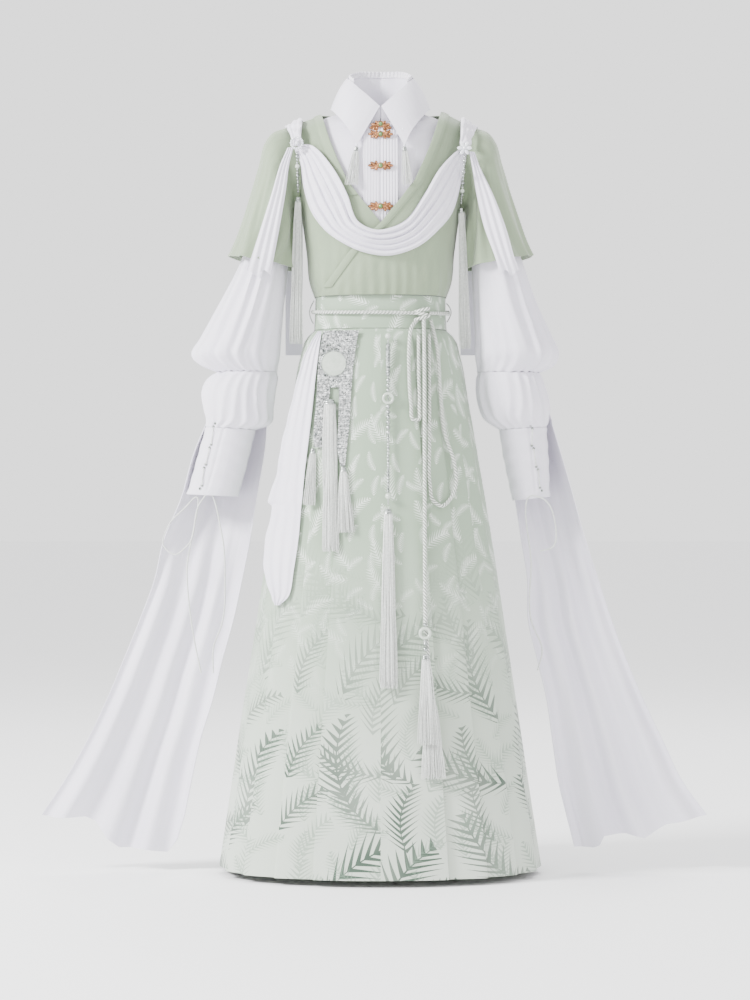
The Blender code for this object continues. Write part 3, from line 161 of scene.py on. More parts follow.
PUFF_LEFT = {
    "out_x": [280, 297, 305, 303, 299, 300],
    "out_z": [-438, -451, -468, -499, -519, -532],
    "in_x":  [178, 177, 180, 184, 188, 215],
    "in_z":  [-438, -451, -468, -499, -525, -537],
    "depth": [50, 57, 60, 59, 52, 41],
}
PUFF_RIGHT = {
    "out_x": [273, 277, 285, 290, 289, 285],
    "out_z": [-439, -451, -475, -500, -519, -532],
    "in_x":  [167, 166, 166, 171, 178, 204],
    "in_z":  [-439, -451, -470, -499, -517, -537],
    "depth": [50, 56, 58, 58, 52, 41],
}
CUFF_LEFT = {
    "out_x": [300.3, 311, 322, 333],
    "out_z": [-532.8, -570, -610, -648],
    "in_x":  [215.3, 224, 234, 245],
    "in_z":  [-537.8, -575, -614, -652],
    "depth": [41, 39, 37, 36],
}
CUFF_RIGHT = {
    "out_x": [285.1, 288, 290, 291],
    "out_z": [-532.8, -570, -610, -652],
    "in_x":  [204.1, 210, 218, 227],
    "in_z":  [-537.8, -577, -617, -659],
    "depth": [41, 40, 39, 38],
}
TRAIL_LEFT = {
    "z":     [-538, -588, -657, -726, -795, -863, -932, -1001, -1070, -1139, -1199],
    "out_x": [305, 326, 345, 374, 390, 415, 443, 472, 505, 544, 584],
    "in_x":  [194, 199, 212, 223, 237, 252, 271, 288, 309, 324, 336],
    "hem_u": [0.0, 0.1, 0.3, 0.375, 0.465, 0.535, 0.69, 0.875, 0.945, 1.0],
    "hem_dip": [0, 5, 4, 12, 43, 57, 59, 65, 43, 0],
}
TRAIL_RIGHT = {
    "z":     [-538, -588, -657, -726, -795, -863, -932, -1001, -1070, -1139, -1199],
    "out_x": [302, 316, 335, 354, 376, 398, 424, 453, 486, 519, 562],
    "in_x":  [214, 222, 232, 242, 252, 253, 269, 285, 295, 305, 319],
    "hem_u": [0.0, 0.28, 0.44, 0.57, 0.73, 0.76, 0.8, 0.94, 1.0],
    "hem_dip": [0, 17, 40, 33, 36, 52, 56, 55, 0],
}

# Skirt: height, half width, half depth and step of the knife pleats.
SKIRT = {
    "z":     [-366.9, -376, -410, -490, -640, -930, -1284],
    "half":  [114.5, 124, 136, 150, 176, 220.5, 274],
    "depth": [89.5, 96, 105.5, 118, 138.5, 176, 215],
    "step":  [1.0, 2.5, 4.0, 5.5, 6.5, 8.0, 9.0],
}
PANEL_ANGLE = math.radians(21.3)
SIDE_PLEATS = 8
PLEAT_PART = [0.0, 0.84, 0.9, 0.93, 1.0]
PLEAT_RISE = [-0.5, 0.46, 0.5, 0.36, -0.5]

# Shoulder drape, arm tails and side streamer.
SWAG = {
    "u":     [0.0, 0.08, 0.2, 0.33, 0.43, 0.5, 0.58, 0.66, 0.76, 0.87, 0.95, 1.0],
    "up_x":  [-138, -116, -84, -56, -38, -12, 18, 45, 74, 101, 125, 137],
    "up_z":  [-52, -56, -92, -143, -188, -202, -199, -184, -142, -96, -69, -60],
    "low_x": [-146, -137, -129, -110, -78, -38, 12, 58, 98, 126, 139, 146],
    "low_z": [-62, -82, -134, -182, -215, -237, -246, -233, -201, -160, -106, -72],
}
TAIL_LEFT = {
    "z":     [-58, -90, -135, -190, -240, -272],
    "out_x": [158, 171, 183, 199, 214, 223],
    "in_x":  [148, 156, 162, 172, 182, 190],
}
TAIL_RIGHT = {
    "z":     [-66, -95, -140, -190, -240, -272],
    "out_x": [160, 170, 190, 208, 222, 232],
    "in_x":  [150, 156, 164, 176, 194, 206],
}
STREAMER = {
    "z":     [-371, -400, -450, -510, -560, -610, -655, -672, -720, -775, -815, -834],
    "left":  [-107, -125, -140, -157, -167, -177, -191, -184, -196, -196, -187, -178],
    "right": [-100, -104, -110, -116, -122, -128, -132, -134, -138, -146, -153, -170],
}
SEQUIN_PANEL = {
    "z": [-371, -400, -430, -467, -500, -535, -568, -600],
    "a": [-96, -102, -105, -107, -109, -112, -112, -112],
    "b": [-76, -82, -85, -85, -89, -95, -99, -99],
    "c": [-57, -62, -66, -70, -70, -71, -72, -66],
    "d": [-37, -42, -46, -49, -51, -53, -57, -61],
}
SEQUIN_STRIPS = (
    # edges, share of the height from and to, columns
    ("a", "d", 0.0, 3 / 7, 17), ("a", "b", 3 / 7, 6 / 7, 6), ("c", "d", 3 / 7, 1.0, 6),
)
SHOULDER_OVER = [
    # y, z, and the direction in which the band is laid on
    (-60, -56, 1.0, 0.0), (-50, -30, 0.85, -0.5), (-25, -10, 0.4, -0.9), (0, 0, 0.0, -1.0),
    (25, -10, -0.4, -0.9), (52, -30, -0.8, -0.6), (70, -62, -1.0, -0.15),
]
SHOULDER_FALL = [-110, -200, -300, -404]

# Cords: stations in the front view, in millimetres, and the layer over the skirt, as they are in the frame.
CORD = 6.5 * MM
BELT_ROUTES = {
    "belt_bow_left": [
        (62, -352, 0), (53, -364, 0), (48, -400, 0), (48, -450, 0), (51, -495, 0), (56.5, -523, 0),
        (62.5, -523, 0), (65, -500, 0), (64.5, -450, 0), (64, -380, 0),
    ],
    "belt_bow_right": [
        (85, -352, 0), (95, -398, 0), (101, -480, 0), (108, -545, 0), (124, -596, 0), (127, -625, 0),
        (117, -655, 0), (102, -667, 0), (88, -658, 0), (82.5, -630, 0), (82, -560, 0), (82, -450, 0),
        (82, -378, 0),
    ],
    "belt_end_short": [(73, -352, 1), (73.5, -400, 1), (73.5, -560, 1), (73.5, -700, 1), (73.5, -866, 1)],
    "belt_end_long": [
        (73, -352, 0), (73.5, -400, 0), (73.5, -560, 0), (73.5, -700, 0), (75, -866, 0), (81, -948, 0),
    ],
}
BELT_START = math.radians(36)
BELT_OPEN = math.radians(6)
LOOP_THREAD = 2.0 * MM
LOOP_LEFT = [(-114.2, 0, -314), (-119.0, 0, -323), (-122.2, 0, -334), (-119.4, 0, -346), (-115.4, 0, -354)]
LOOP_RIGHT = [(113.3, 9, -318), (118.4, 9, -324), (121.7, 9, -334), (118.6, 9, -344), (114.2, 9, -351)]
LACE = 2.6 * MM
LACES = {
    "cuff_lace_left": [
        (-307, -36, -953), (-318, -35, -900), (-327, -36, -840), (-331, -38, -780), (-320, -42, -655),
        (-332, -43, -668), (-362, -40, -700), (-371, -38, -735), (-352, -41, -750), (-330, -46, -735),
        (-308, -46, -662), (-296, -42, -646), (-272, -40, -712), (-266, -38, -795), (-271, -37, -868),
        (-286, -36, -910), (-286, -36, -953),
    ],
    "cuff_lace_right": [
        (273, -40, -744), (293, -40, -738), (298, -42, -696), (279, -45, -656), (264, -43, -650),
        (257, -42, -770), (257, -40, -862), (276, -38, -916), (268, -38, -948),
    ],
}

# Lacing of the cuffs: middles of the eyelet pairs, as pixels of the photograph.
EYELETS = {
    "left": [(214.0, 425.0), (210.0, 446.0), (204.5, 466.0), (200.5, 487.0)],
    "right": [(531.5, 427.0), (532.7, 447.0), (537.2, 468.0), (541.0, 489.0)],
}

# Tassels: radius of the head, spread of the strands at the foot, stem above the head, how many strands.
TASSELS = {
    "collar_tassel_left": (4.0, 3.2, 0.0, 44),
    "collar_tassel_right": (4.0, 2.6, 0.0, 44),
    "shoulder_tassel_left": (5.0, 2.4, 0.0, 110),
    "shoulder_tassel_right": (4.5, 2.3, 0.0, 110),
    "panel_tassel_left": (4.5, 2.4, 0.0, 80),
    "panel_tassel_middle": (9.0, 1.5, 0.0, 150),
    "panel_tassel_right": (5.0, 2.9, 0.0, 90),
    "centre_tassel": (6.0, 2.4, 0.0, 150),
    "belt_tassel_long": (6.0, 3.4, 30.0, 120),
    "belt_tassel_short": (6.0, 2.9, 22.0, 120),
}
CAP_SIDES = 18
STRAND_ROWS = 9
STRAND_SIDES = 4
# Profile of a tassel's wrapped head: depth in millimetres and share of the head's radius.
TASSEL_CAP = [
    (0, 0.25), (0.6, 0.7), (2, 0.95), (3.6, 0.8), (4.2, 1.0), (5.2, 1.02), (6.2, 0.84), (7, 0.96), (8, 1.0),
    (9, 1.02),
]
# Profile of the carved disc: height in millimetres and share of the radius.
DISC_PROFILE = [
    (0.0, 0.98), (2.0, 1.0), (3.4, 0.94), (3.1, 0.88), (3.5, 0.82), (3.7, 0.6), (3.6, 0.5), (3.8, 0.46),
    (3.9, 0.3), (3.9, 0.02),
]
# Petals on one side of a clasp: share of its half width, rise, lean, length and width.
CLASP_PETALS = {
    "across": [0.30, 0.62, 0.60, 0.88, 0.36, 0.36],
    "rise":   [0.0, 2.9, -2.9, 0.0, 4.6, -4.6],
    "lean":   [0.0, 0.5, -0.5, 0.0, 1.15, -1.15],
    "long":   [4.6, 4.9, 4.9, 3.4, 3.3, 3.3],
    "wide":   [3.0, 2.2, 2.2, 2.0, 2.0, 2.0],
}

# Rows and columns of the cloth grids.
GRIDS = {
    "blouse_front": (64, 60),
    "blouse_placket": (44, 121),
    "collar_stand": (14, 180),
    "collar_fall": (26, 180),
    "collar_trim": (10, 420),
    "robe_front": (72, 80),
    "neck_band": (100, 16),
    "back": (80, 90),
    "cap_sleeve": (50, 128),
    "sleeve_upper": (72, 128),
    "sleeve_puff": (40, 128),
    "trailing_sleeve": (84, 130),
    "waistband": (16, 180),
    "skirt": (56, 432),
    "chest_drape": (72, 130),
    "arm_tail": (70, 30),
    "shoulder_band": (150, 28),
    "side_streamer": (120, 36),
}

# Studio: strength of the world's light, and place, size and power of each lamp round the outfit's middle.
WORLD_LIGHT = 1.9
LAMP_AIM = (0, 0, -0.6)
LAMPS = {
    "key": ((-3.4, -1.9, 1.6), 1.1, 480.0),
    "fill": ((3.2, -3.4, 0.2), 2.6, 40.0),
    "rim": ((0.6, 2.6, 2.4), 2.0, 90.0),
}
FLOOR_REACH = 40
FLOOR_CORNERS = 9
FLOOR_DROP = 0.012


def smooth(t, knots, values):
    """Smooth curve through values at the knots, read at t: cubic Hermite with slopes from the neighbours.

    Values may carry more axes after the first one.
    """
    t = np.asarray(t, float)
    k = np.asarray(knots, float)
    v = np.asarray(values, float)
    slope = np.gradient(v, k, axis=0)
    i = np.clip(np.searchsorted(k, t) - 1, 0, len(k) - 2)
    h = k[i + 1] - k[i]
    u = np.clip((t - k[i]) / h, 0, 1)
    extra = (...,) + (None,) * (v.ndim - 1)
    h, u = h[extra], u[extra]
    start = (2 * u**3 - 3 * u**2 + 1) * v[i] + (u**3 - 2 * u**2 + u) * h * slope[i]
    end = (3 * u**2 - 2 * u**3) * v[i + 1] + (u**3 - u**2) * h * slope[i + 1]
    return start + end


def column(table, key, t, by):
    """A named column of a table in metres, read smoothly at t along the column `by`."""
    return smooth(t, table[by], table[key]) * MM


def unit(vectors):
    """Vectors at length one."""
    return vectors / np.maximum(np.linalg.norm(vectors, axis=-1, keepdims=True), 1e-12)


def points(x, y, z):
    """A grid of points from three arrays that broadcast together."""
    return np.stack(np.broadcast_arrays(x, y, z), axis=-1).astype(float)


def full_turn(count):
    """Angles of a whole turn in even steps, without its end."""
    return np.arange(count) * 2 * math.pi / count


def grid_shares(name):
    """Shares from 0 to 1 down and across a cloth's grid."""
    rows, columns = GRIDS[name]
    return np.linspace(0, 1, rows)[:, None], np.linspace(0, 1, columns)[None, :]


def ease(t):
    """Smooth step from 0 to 1."""
    t = np.clip(t, 0, 1)
    return t * t * (3 - 2 * t)


def drift(a, b, seed, terms=5):
    """Slow irregular swell between -1 and 1 over two coordinates: a sum of seeded sines."""
    rng = np.random.default_rng(seed)
    total = 0.0
    for _ in range(terms):
        fa, fb = rng.uniform(-1, 1, 2) * 2 * math.pi
        total = total + np.sin(fa * a + fb * b + rng.uniform(0, 2 * math.pi))
    return total / terms ** 0.7 / 1.6


def grid_normals(grid, closed, toward):
    """Unit normals of a grid, turned to the side where `toward` points."""
    down = np.gradient(grid, axis=0)
    if closed:
        across = (np.roll(grid, -1, axis=1) - np.roll(grid, 1, axis=1)) / 2
    else:
        across = np.gradient(grid, axis=1)
    normal = unit(np.cross(down, across))
    sign = np.sign(np.sum(normal * toward, axis=-1, keepdims=True))
    sign[sign == 0] = 1
    return normal * sign


def refined_rows(rings, count):
    """More rings between control rings: a smooth curve through the same place of each ring."""
    length = np.linalg.norm(np.diff(rings, axis=0), axis=-1).mean(axis=1)
    knots = np.concatenate([[0.0], np.cumsum(length)])
    return smooth(np.linspace(0, knots[-1], count), knots, rings)


def node_points(name):
    """The different corners of a solid of the frame."""
    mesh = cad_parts[name].data
    places = np.empty(len(mesh.vertices) * 3)
    mesh.vertices.foreach_get("co", places)
    return np.unique(np.round(places.reshape(-1, 3), 5), axis=0)


def ends(name, part=0.02):
    """Middle of the top and of the foot of a hanging solid."""
    places = node_points(name)
    high, low = places[:, 2].max(), places[:, 2].min()
    near = (high - low) * part
    top = places[places[:, 2] > high - near].mean(axis=0)
    foot = places[places[:, 2] < low + 3 * near].mean(axis=0)
    return top, foot


def resting_depth(name, x, z, reach=14 * MM):
    """Depth of the back of a laid solid at places of the front view.

    A moving least-squares plane through the solid's rear corners, weighted by a bell of the distance.
    """
    places = node_points(name)
    key = np.round(places[:, [0, 2]], 4)
    spots, group = np.unique(key, axis=0, return_inverse=True)
    rear = np.full(len(spots), -1.0)
    np.maximum.at(rear, group.ravel(), places[:, 1])
    shape = np.broadcast(x, z).shape
    asked = np.stack([np.broadcast_to(x, shape).ravel(), np.broadcast_to(z, shape).ravel()], axis=1)
    gap = asked[:, None] - spots[None]
    weight = np.exp(-np.sum(gap ** 2, axis=2) / reach ** 2 / 2) + 1e-9
    basis = np.concatenate([np.ones((*gap.shape[:2], 1)), gap / reach], axis=2)
    left = np.einsum("qk,qki,qkj->qij", weight, basis, basis) + np.eye(3) * 1e-7
    right = np.einsum("qk,qki,k->qi", weight, basis, rear)
    return np.linalg.solve(left, right[..., None])[:, 0, 0].reshape(shape)


class Parts:
    """Vertices, faces and face slots of one piece, gathered from many small forms."""

    def __init__(self):
        self.vertices = []
        self.maps = []
        self.faces = []
        self.slots = []
        self.count = 0

    def add(self, vertices, groups, slot=0, maps=None):
        """Add forms; each group of faces is an array of corner numbers, and maps are places along a cord."""
        vertices = np.asarray(vertices, float).reshape(-1, 3)
        for group in groups:
            self.faces += (np.asarray(group) + self.count).tolist()
            self.slots += [slot] * len(group)
        self.vertices.append(vertices)
        self.maps.append(vertices[:, [0, 2]] if maps is None else maps.reshape(-1, 2))
        self.count += len(vertices)

    def copies(self, form, centres, sizes, slot=0, turns=None):
        """Add many copies of one form, each sized on its own axes, turned and moved to its centre."""
        vertices, groups = form
        centres = np.asarray(centres, float).reshape(-1, 3)
        count = len(centres)
        placed = vertices[None] * np.broadcast_to(np.asarray(sizes, float), (count, 3))[:, None]
        if turns is not None:
            placed = np.einsum("nij,nvj->nvi", turns, placed)
        placed = placed + centres[:, None]
        step = np.arange(count)[:, None, None] * len(vertices)
        self.add(placed, [(group[None] + step).reshape(-1, group.shape[1]) for group in groups], slot)

    def piece(self, name, looks, nodes=(), slot=None, smooth_angle=50.0):
        """Make the piece, dress it, and let it ride on the outfit in place of its solids."""
        mesh = bpy.data.meshes.new(name)
        mesh.from_pydata(np.concatenate(self.vertices).tolist(), [], self.faces)
        for look in looks:
            mesh.materials.append(look)
        mesh.polygons.foreach_set("material_index", self.slots)
        form = bmesh.new()
        form.from_mesh(mesh)
        bmesh.ops.recalc_face_normals(form, faces=form.faces)
        form.to_mesh(mesh)
        form.free()
        corners = np.empty(len(mesh.loops), dtype=np.int32)
        mesh.loops.foreach_get("vertex_index", corners)
        layer = mesh.uv_layers.new(name="Cloth")
        layer.data.foreach_set("uv", np.concatenate(self.maps)[corners].reshape(-1).astype(np.float32))
        return settle_piece(name, mesh, nodes, smooth_angle)


def settle_piece(name, mesh, nodes, smooth_angle=50.0):
    """Link a finished mesh, shade it, hang it on the root, and hide the solids that it stands for."""
    mesh.shade_smooth()
    mesh.set_sharp_from_angle(angle=math.radians(smooth_angle))
    made = bpy.data.objects.new(name, mesh)
    bpy.context.scene.collection.objects.link(made)
    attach(made, "root")
    if nodes:
        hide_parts(*nodes)
    return made


def cells(rows, columns, closed):
    """Rows and unrolled columns of the four corners of each grid cell."""
    r = np.arange(rows - 1)[:, None, None]
    c = np.arange(columns if closed else columns - 1)[None, :, None]
    return r + np.array([0, 0, 1, 1]) + 0 * c, c + np.array([0, 1, 1, 0]) + 0 * r


def tube_faces(rows, sides):
    """Quads round a tube of rings, and a cap on its first and on its last ring."""
    row, col = cells(rows, sides, True)
    caps = np.arange(sides)[None] + np.array([[0], [sides * (rows - 1)]])
    return [(row * sides + col % sides).reshape(-1, 4), caps]


def cloth(name, outer, inner, look, nodes, closed=False):
    """Cloth as a closed wall between two grids, mapped by its own lengths.
    """
    rows, columns = outer.shape[:2]
    count = rows * columns
    row, col = (part.reshape(-1, 4) for part in cells(rows, columns, closed))
    quads = row * columns + col % columns
    ring = np.concatenate([outer, outer[:, :1]], axis=1) if closed else outer
    across = np.linalg.norm(np.diff(ring, axis=1), axis=-1)
    down = np.linalg.norm(np.diff(outer, axis=0), axis=-1)
    u = np.concatenate([[0.0], np.cumsum(across.mean(axis=0))])
    v = -np.concatenate([[0.0], np.cumsum(down.mean(axis=1))])
    mapped = np.stack([u[col], v[row]], axis=-1)
    corners = outer.reshape(-1, 3)[quads]
    facing = np.cross(corners[:, 2] - corners[:, 0], corners[:, 3] - corners[:, 1])
    away = (outer - inner).reshape(-1, 3)[quads[:, 0]]
    if np.sum(facing * away) < 0:
        quads, mapped = quads[:, ::-1], mapped[:, ::-1]
    start = quads.ravel()
    end = np.roll(quads, -1, axis=1).ravel()
    start_map = mapped.reshape(-1, 2)
    end_map = np.roll(mapped, -1, axis=1).reshape(-1, 2)
    rim = ~np.isin(start * count + end, end * count + start)
    start, end, start_map, end_map = start[rim], end[rim], start_map[rim], end_map[rim]
    sides = np.stack([end, start, start + count, end + count], axis=1)
    sides_map = np.stack([end_map, start_map, start_map, end_map], axis=1)
    faces = np.concatenate([quads, quads[:, ::-1] + count, sides])
    maps = np.concatenate([mapped, mapped[:, ::-1], sides_map])
    used, numbers = np.unique(faces, return_inverse=True)
    vertices = np.concatenate([outer.reshape(-1, 3), inner.reshape(-1, 3)])[used]
    mesh = bpy.data.meshes.new(name)
    mesh.from_pydata(vertices.tolist(), [], numbers.reshape(-1, 4).tolist())
    layer = mesh.uv_layers.new(name="Cloth")
    layer.data.foreach_set("uv", maps.reshape(-1))
    mesh.materials.append(look_of(look))
    made = settle_piece(name, mesh, nodes)
    area = np.linalg.norm(facing, axis=1).sum() / 2
    width = across.sum(axis=1).max()
    length = down.sum(axis=0).max()
    if area < 0.3 * width * length:
        width = area / 0.6 / length
    return made


def walled(name, outer, toward, look, nodes, thickness=CLOTH):
    """Cloth whose inner side lies one wall's thickness behind its outer grid."""
    normal = grid_normals(outer, False, toward)
    return cloth(name, outer, outer - normal * thickness, look, nodes)


def turned_form(profile, sides):
    """A form turned about the depth axis: profile rows are height toward the front and radius."""
    turn = full_turn(sides)
    profile = np.asarray(profile, float)
    high, wide = profile[:, :1], profile[:, 1:]
    grid = points(wide * np.cos(turn), -high, wide * np.sin(turn))
    return grid.reshape(-1, 3), tube_faces(len(profile), sides)


def ball(rows=6, sides=8):
    """A unit ball: a half circle turned about the depth axis."""
    turn = np.linspace(-0.46 * math.pi, 0.46 * math.pi, rows)
    return turned_form(np.stack([np.sin(turn), np.cos(turn)], axis=1), sides)


def hoop(radius, minor, rows=20, sides=8):
    """A ring that faces the front: a small circle swept round a larger one."""
    a = full_turn(rows)[:, None]
    b = full_turn(sides)[None]
    reach = radius + minor * np.cos(b)
    grid = points(reach * np.cos(a), -minor * np.sin(b), reach * np.sin(a))
    row, col = cells(rows + 1, sides, True)
    return grid.reshape(-1, 3), [((row % rows) * sides + col % sides).reshape(-1, 4)]


def turn_matrices(tilt_x, tilt_z, spin):
    """Matrices that spin about Y and then tilt about X and Z, for forms that face the front."""
    tilt_x, tilt_z, spin = np.broadcast_arrays(tilt_x, tilt_z, spin)
    zero, one = np.zeros_like(spin), np.ones_like(spin)
    about_x = np.array([[one, zero, zero], [zero, np.cos(tilt_x), -np.sin(tilt_x)],
                        [zero, np.sin(tilt_x), np.cos(tilt_x)]])
    about_y = np.array([[np.cos(spin), zero, np.sin(spin)], [zero, one, zero],
                        [-np.sin(spin), zero, np.cos(spin)]])
    about_z = np.array([[np.cos(tilt_z), -np.sin(tilt_z), zero], [np.sin(tilt_z), np.cos(tilt_z), zero],
                        [zero, zero, one]])
    return np.einsum("ijn,jkn,kln->nil", about_z, about_x, about_y)


def route_through(stations, step):
    """Smooth route through given stations, with a point every step."""
    stations = np.asarray(stations, float)
    length = np.concatenate([[0], np.cumsum(np.linalg.norm(np.diff(stations, axis=0), axis=1))])
    return smooth(np.linspace(0, length[-1], max(3, int(round(length[-1] / step)) + 1)), length, stations)


def rope(parts, path, radius, up, slot=0, sides=12, lobes=3, pitch=18 * MM, groove=0.16):
    """Add a twisted cord along a path: rings about its points, whose lobes turn once a pitch."""
    tangent = unit(np.gradient(path, axis=0))
    side = unit(np.cross(tangent, np.asarray(up, float)))
    front = np.cross(tangent, side)
    along = np.concatenate([[0], np.cumsum(np.linalg.norm(np.diff(path, axis=0), axis=1))])
    turn = full_turn(sides)
    lobe = np.abs(np.cos(lobes / 2 * (turn[None] - along[:, None] / pitch * 2 * math.pi)))
    reach = (radius * (1 - groove + groove * lobe))[..., None]
    grid = path[:, None] + reach * (side[:, None] * np.cos(turn)[None, :, None]
                                    + front[:, None] * np.sin(turn)[None, :, None])
    maps = np.stack(np.broadcast_arrays(turn[None] * radius, along[:, None]), axis=-1)
    parts.add(grid, tube_faces(len(path), sides), slot, maps)


def tint(red, green, blue):
    """Linear colour of screen values from 0 to 255."""
    value = np.array([red, green, blue]) / 255
    linear = np.where(value <= 0.04045, value / 12.92, ((value + 0.055) / 1.055) ** 2.4)
    return (*(float(part) for part in linear), 1.0)


class Graph:
    """A material whose shader nodes are added and joined here."""

    def __init__(self, name, **values):
        self.look = bpy.data.materials.new(name)
        self.look.use_nodes = True
        self.nodes = self.look.node_tree.nodes
        self.shader = self.nodes["Principled BSDF"]
        for key, value in values.items():
            self.put(self.shader, key.replace("_", " ").title().replace("Ior", "IOR"), value)

    def put(self, node, key, value):
        """Join a socket to an input, or set the input's value."""
        if isinstance(value, bpy.types.NodeSocket):
            self.look.node_tree.links.new(value, node.inputs[key])
        else:
            node.inputs[key].default_value = value

    def math(self, operation, first, second=0.0, clamp=False):
        """A math node of two values."""
        made = self.nodes.new("ShaderNodeMath")
        made.operation = operation
        made.use_clamp = clamp
        self.put(made, 0, first)
        self.put(made, 1, second)
        return made.outputs[0]

    def mix(self, share, first, second):
        """A colour between two."""
        made = self.nodes.new("ShaderNodeMix")
        made.data_type = "RGBA"
        self.put(made, 0, share)
        self.put(made, 6, first)
        self.put(made, 7, second)
        return made.outputs[2]

    def place(self, scale, by_object=False):
        """Coordinates in metres, from the piece's own map or else its object, stretched on each axis."""
        if by_object:
            source = self.nodes.new("ShaderNodeTexCoord").outputs["Object"]
        else:
            found = self.nodes.new("ShaderNodeUVMap")
            found.uv_map = "Cloth"
            source = found.outputs[0]
        made = self.nodes.new("ShaderNodeVectorMath")
        made.operation = "MULTIPLY"
        self.put(made, 0, source)
        self.put(made, 1, scale)
        return made.outputs[0]

    def noise(self, where, detail=3.0, rough=0.5):
        """Noise between 0 and 1."""
        made = self.nodes.new("ShaderNodeTexNoise")
        self.put(made, "Vector", where)
        self.put(made, "Scale", 1.0)
        self.put(made, "Detail", detail)
        self.put(made, "Roughness", rough)
        return made.outputs[0]

    def parts_of(self, where):
        """The separate values of a vector."""
        made = self.nodes.new("ShaderNodeSeparateXYZ")
        self.put(made, 0, where)
        return made.outputs

    def bump(self, height, distance, strength, before=None):
        """Bump from a height, on top of another bump."""
        made = self.nodes.new("ShaderNodeBump")
        self.put(made, "Height", height)
        made.inputs["Distance"].default_value = distance
        made.inputs["Strength"].default_value = strength
        if before is not None:
            self.put(made, "Normal", before)
        return made.outputs[0]

    def weave(self, pitch):
        """Threads that cross: the product of two sines of the piece's map."""
        along = self.parts_of(self.place((2 * math.pi / pitch, 2 * math.pi / pitch, 0.0)))
        return self.math("MULTIPLY", self.math("SINE", along[0]), self.math("SINE", along[1]))

    def fronds(self, cells_per_metre, reach, seed):
        """Mask of slender fern fronds, one in each cell of a scattered pattern, leaning either way.

        In a cell a frond's leaves are the slanting bands fract(12 s - 14 |q|) narrower than the share of the
        frond's half width left at |q|, where s runs up its stem and q across it.
        """
        scale = cells_per_metre
        start = self.nodes.new("ShaderNodeVectorMath")
        self.put(start, 0, self.place((scale, scale, 0.0)))
        self.put(start, 1, (seed, seed * 0.7, 0.0))
        found = self.nodes.new("ShaderNodeTexVoronoi")
        found.voronoi_dimensions = "2D"
        self.put(found, "Vector", start.outputs[0])
        self.put(found, "Scale", 1.0)
        self.put(found, "Randomness", 0.75)
        local = self.nodes.new("ShaderNodeVectorMath")
        local.operation = "SUBTRACT"
        self.put(local, 0, start.outputs[0])
        self.put(local, 1, found.outputs["Position"])
        lean = self.math("MULTIPLY_ADD", self.parts_of(found.outputs["Color"])[0], 2.4)
        lean.node.inputs[2].default_value = -1.2
        turn = self.nodes.new("ShaderNodeVectorRotate")
        turn.rotation_type = "Z_AXIS"
        self.put(turn, "Vector", local.outputs[0])
        self.put(turn, "Angle", lean)
        across, up, _ = self.parts_of(turn.outputs[0])
        bend = self.math("MULTIPLY", self.math("MULTIPLY", up, up), 0.5)
        q = self.math("ABSOLUTE", self.math("SUBTRACT", across, bend))
        share = self.math("DIVIDE", up, reach)
        left = self.math("SUBTRACT", 1.0, self.math("MULTIPLY", share, share), clamp=True)
        width = self.math("MULTIPLY", self.math("SQRT", left), reach * 0.42)
        slant = self.math("SUBTRACT", self.math("MULTIPLY", up, 12.0), self.math("MULTIPLY", q, 14.0))
        band = self.math("FRACT", slant)
        room = self.math("SUBTRACT", 1.0, self.math("DIVIDE", q, self.math("MAXIMUM", width, 0.001)))
        leaf = self.math("LESS_THAN", band, self.math("MULTIPLY", room, 0.62))
        stem = self.math("LESS_THAN", q, self.math("MULTIPLY", left, 0.007))
        return self.math("MAXIMUM", leaf, stem)


def cloth_look(name, light, shade, crease=0.5, streak=(110.0, 9.0, 0.0)):
    """Soft sheer cloth: crossed threads, fine creases along the hang, a slow change of tone, and grey streaks
    along the hang that are painted fold shade.
    """
    graph = Graph(name, roughness=0.72, sheen_weight=0.35, sheen_roughness=0.45)
    tone = graph.noise(graph.place((9.0, 5.0, 0.0)), detail=4.0)
    thread = graph.noise(graph.place((900.0, 60.0, 0.0)), detail=2.0)
    # painted fold shade: streaks along the hang darken the colour, standing in for the shade of folds
    hang = graph.noise(graph.place((streak[0] * 0.55, streak[1] * 0.35, 0.0)), detail=3.0)
    tone = graph.math("ADD", graph.math("MULTIPLY", tone, 0.5), graph.math("MULTIPLY", thread, 0.25))
    tone = graph.math("ADD", tone, graph.math("MULTIPLY", hang, 0.5), clamp=True)
    graph.put(graph.shader, "Base Color", graph.mix(tone, shade, light))
    first = graph.bump(graph.noise(graph.place(streak), detail=5.0, rough=0.6), 1.4 * MM, crease)
    graph.put(graph.shader, "Normal", graph.bump(graph.weave(0.9 * MM), 0.1 * MM, 0.5, first))
    return graph.look


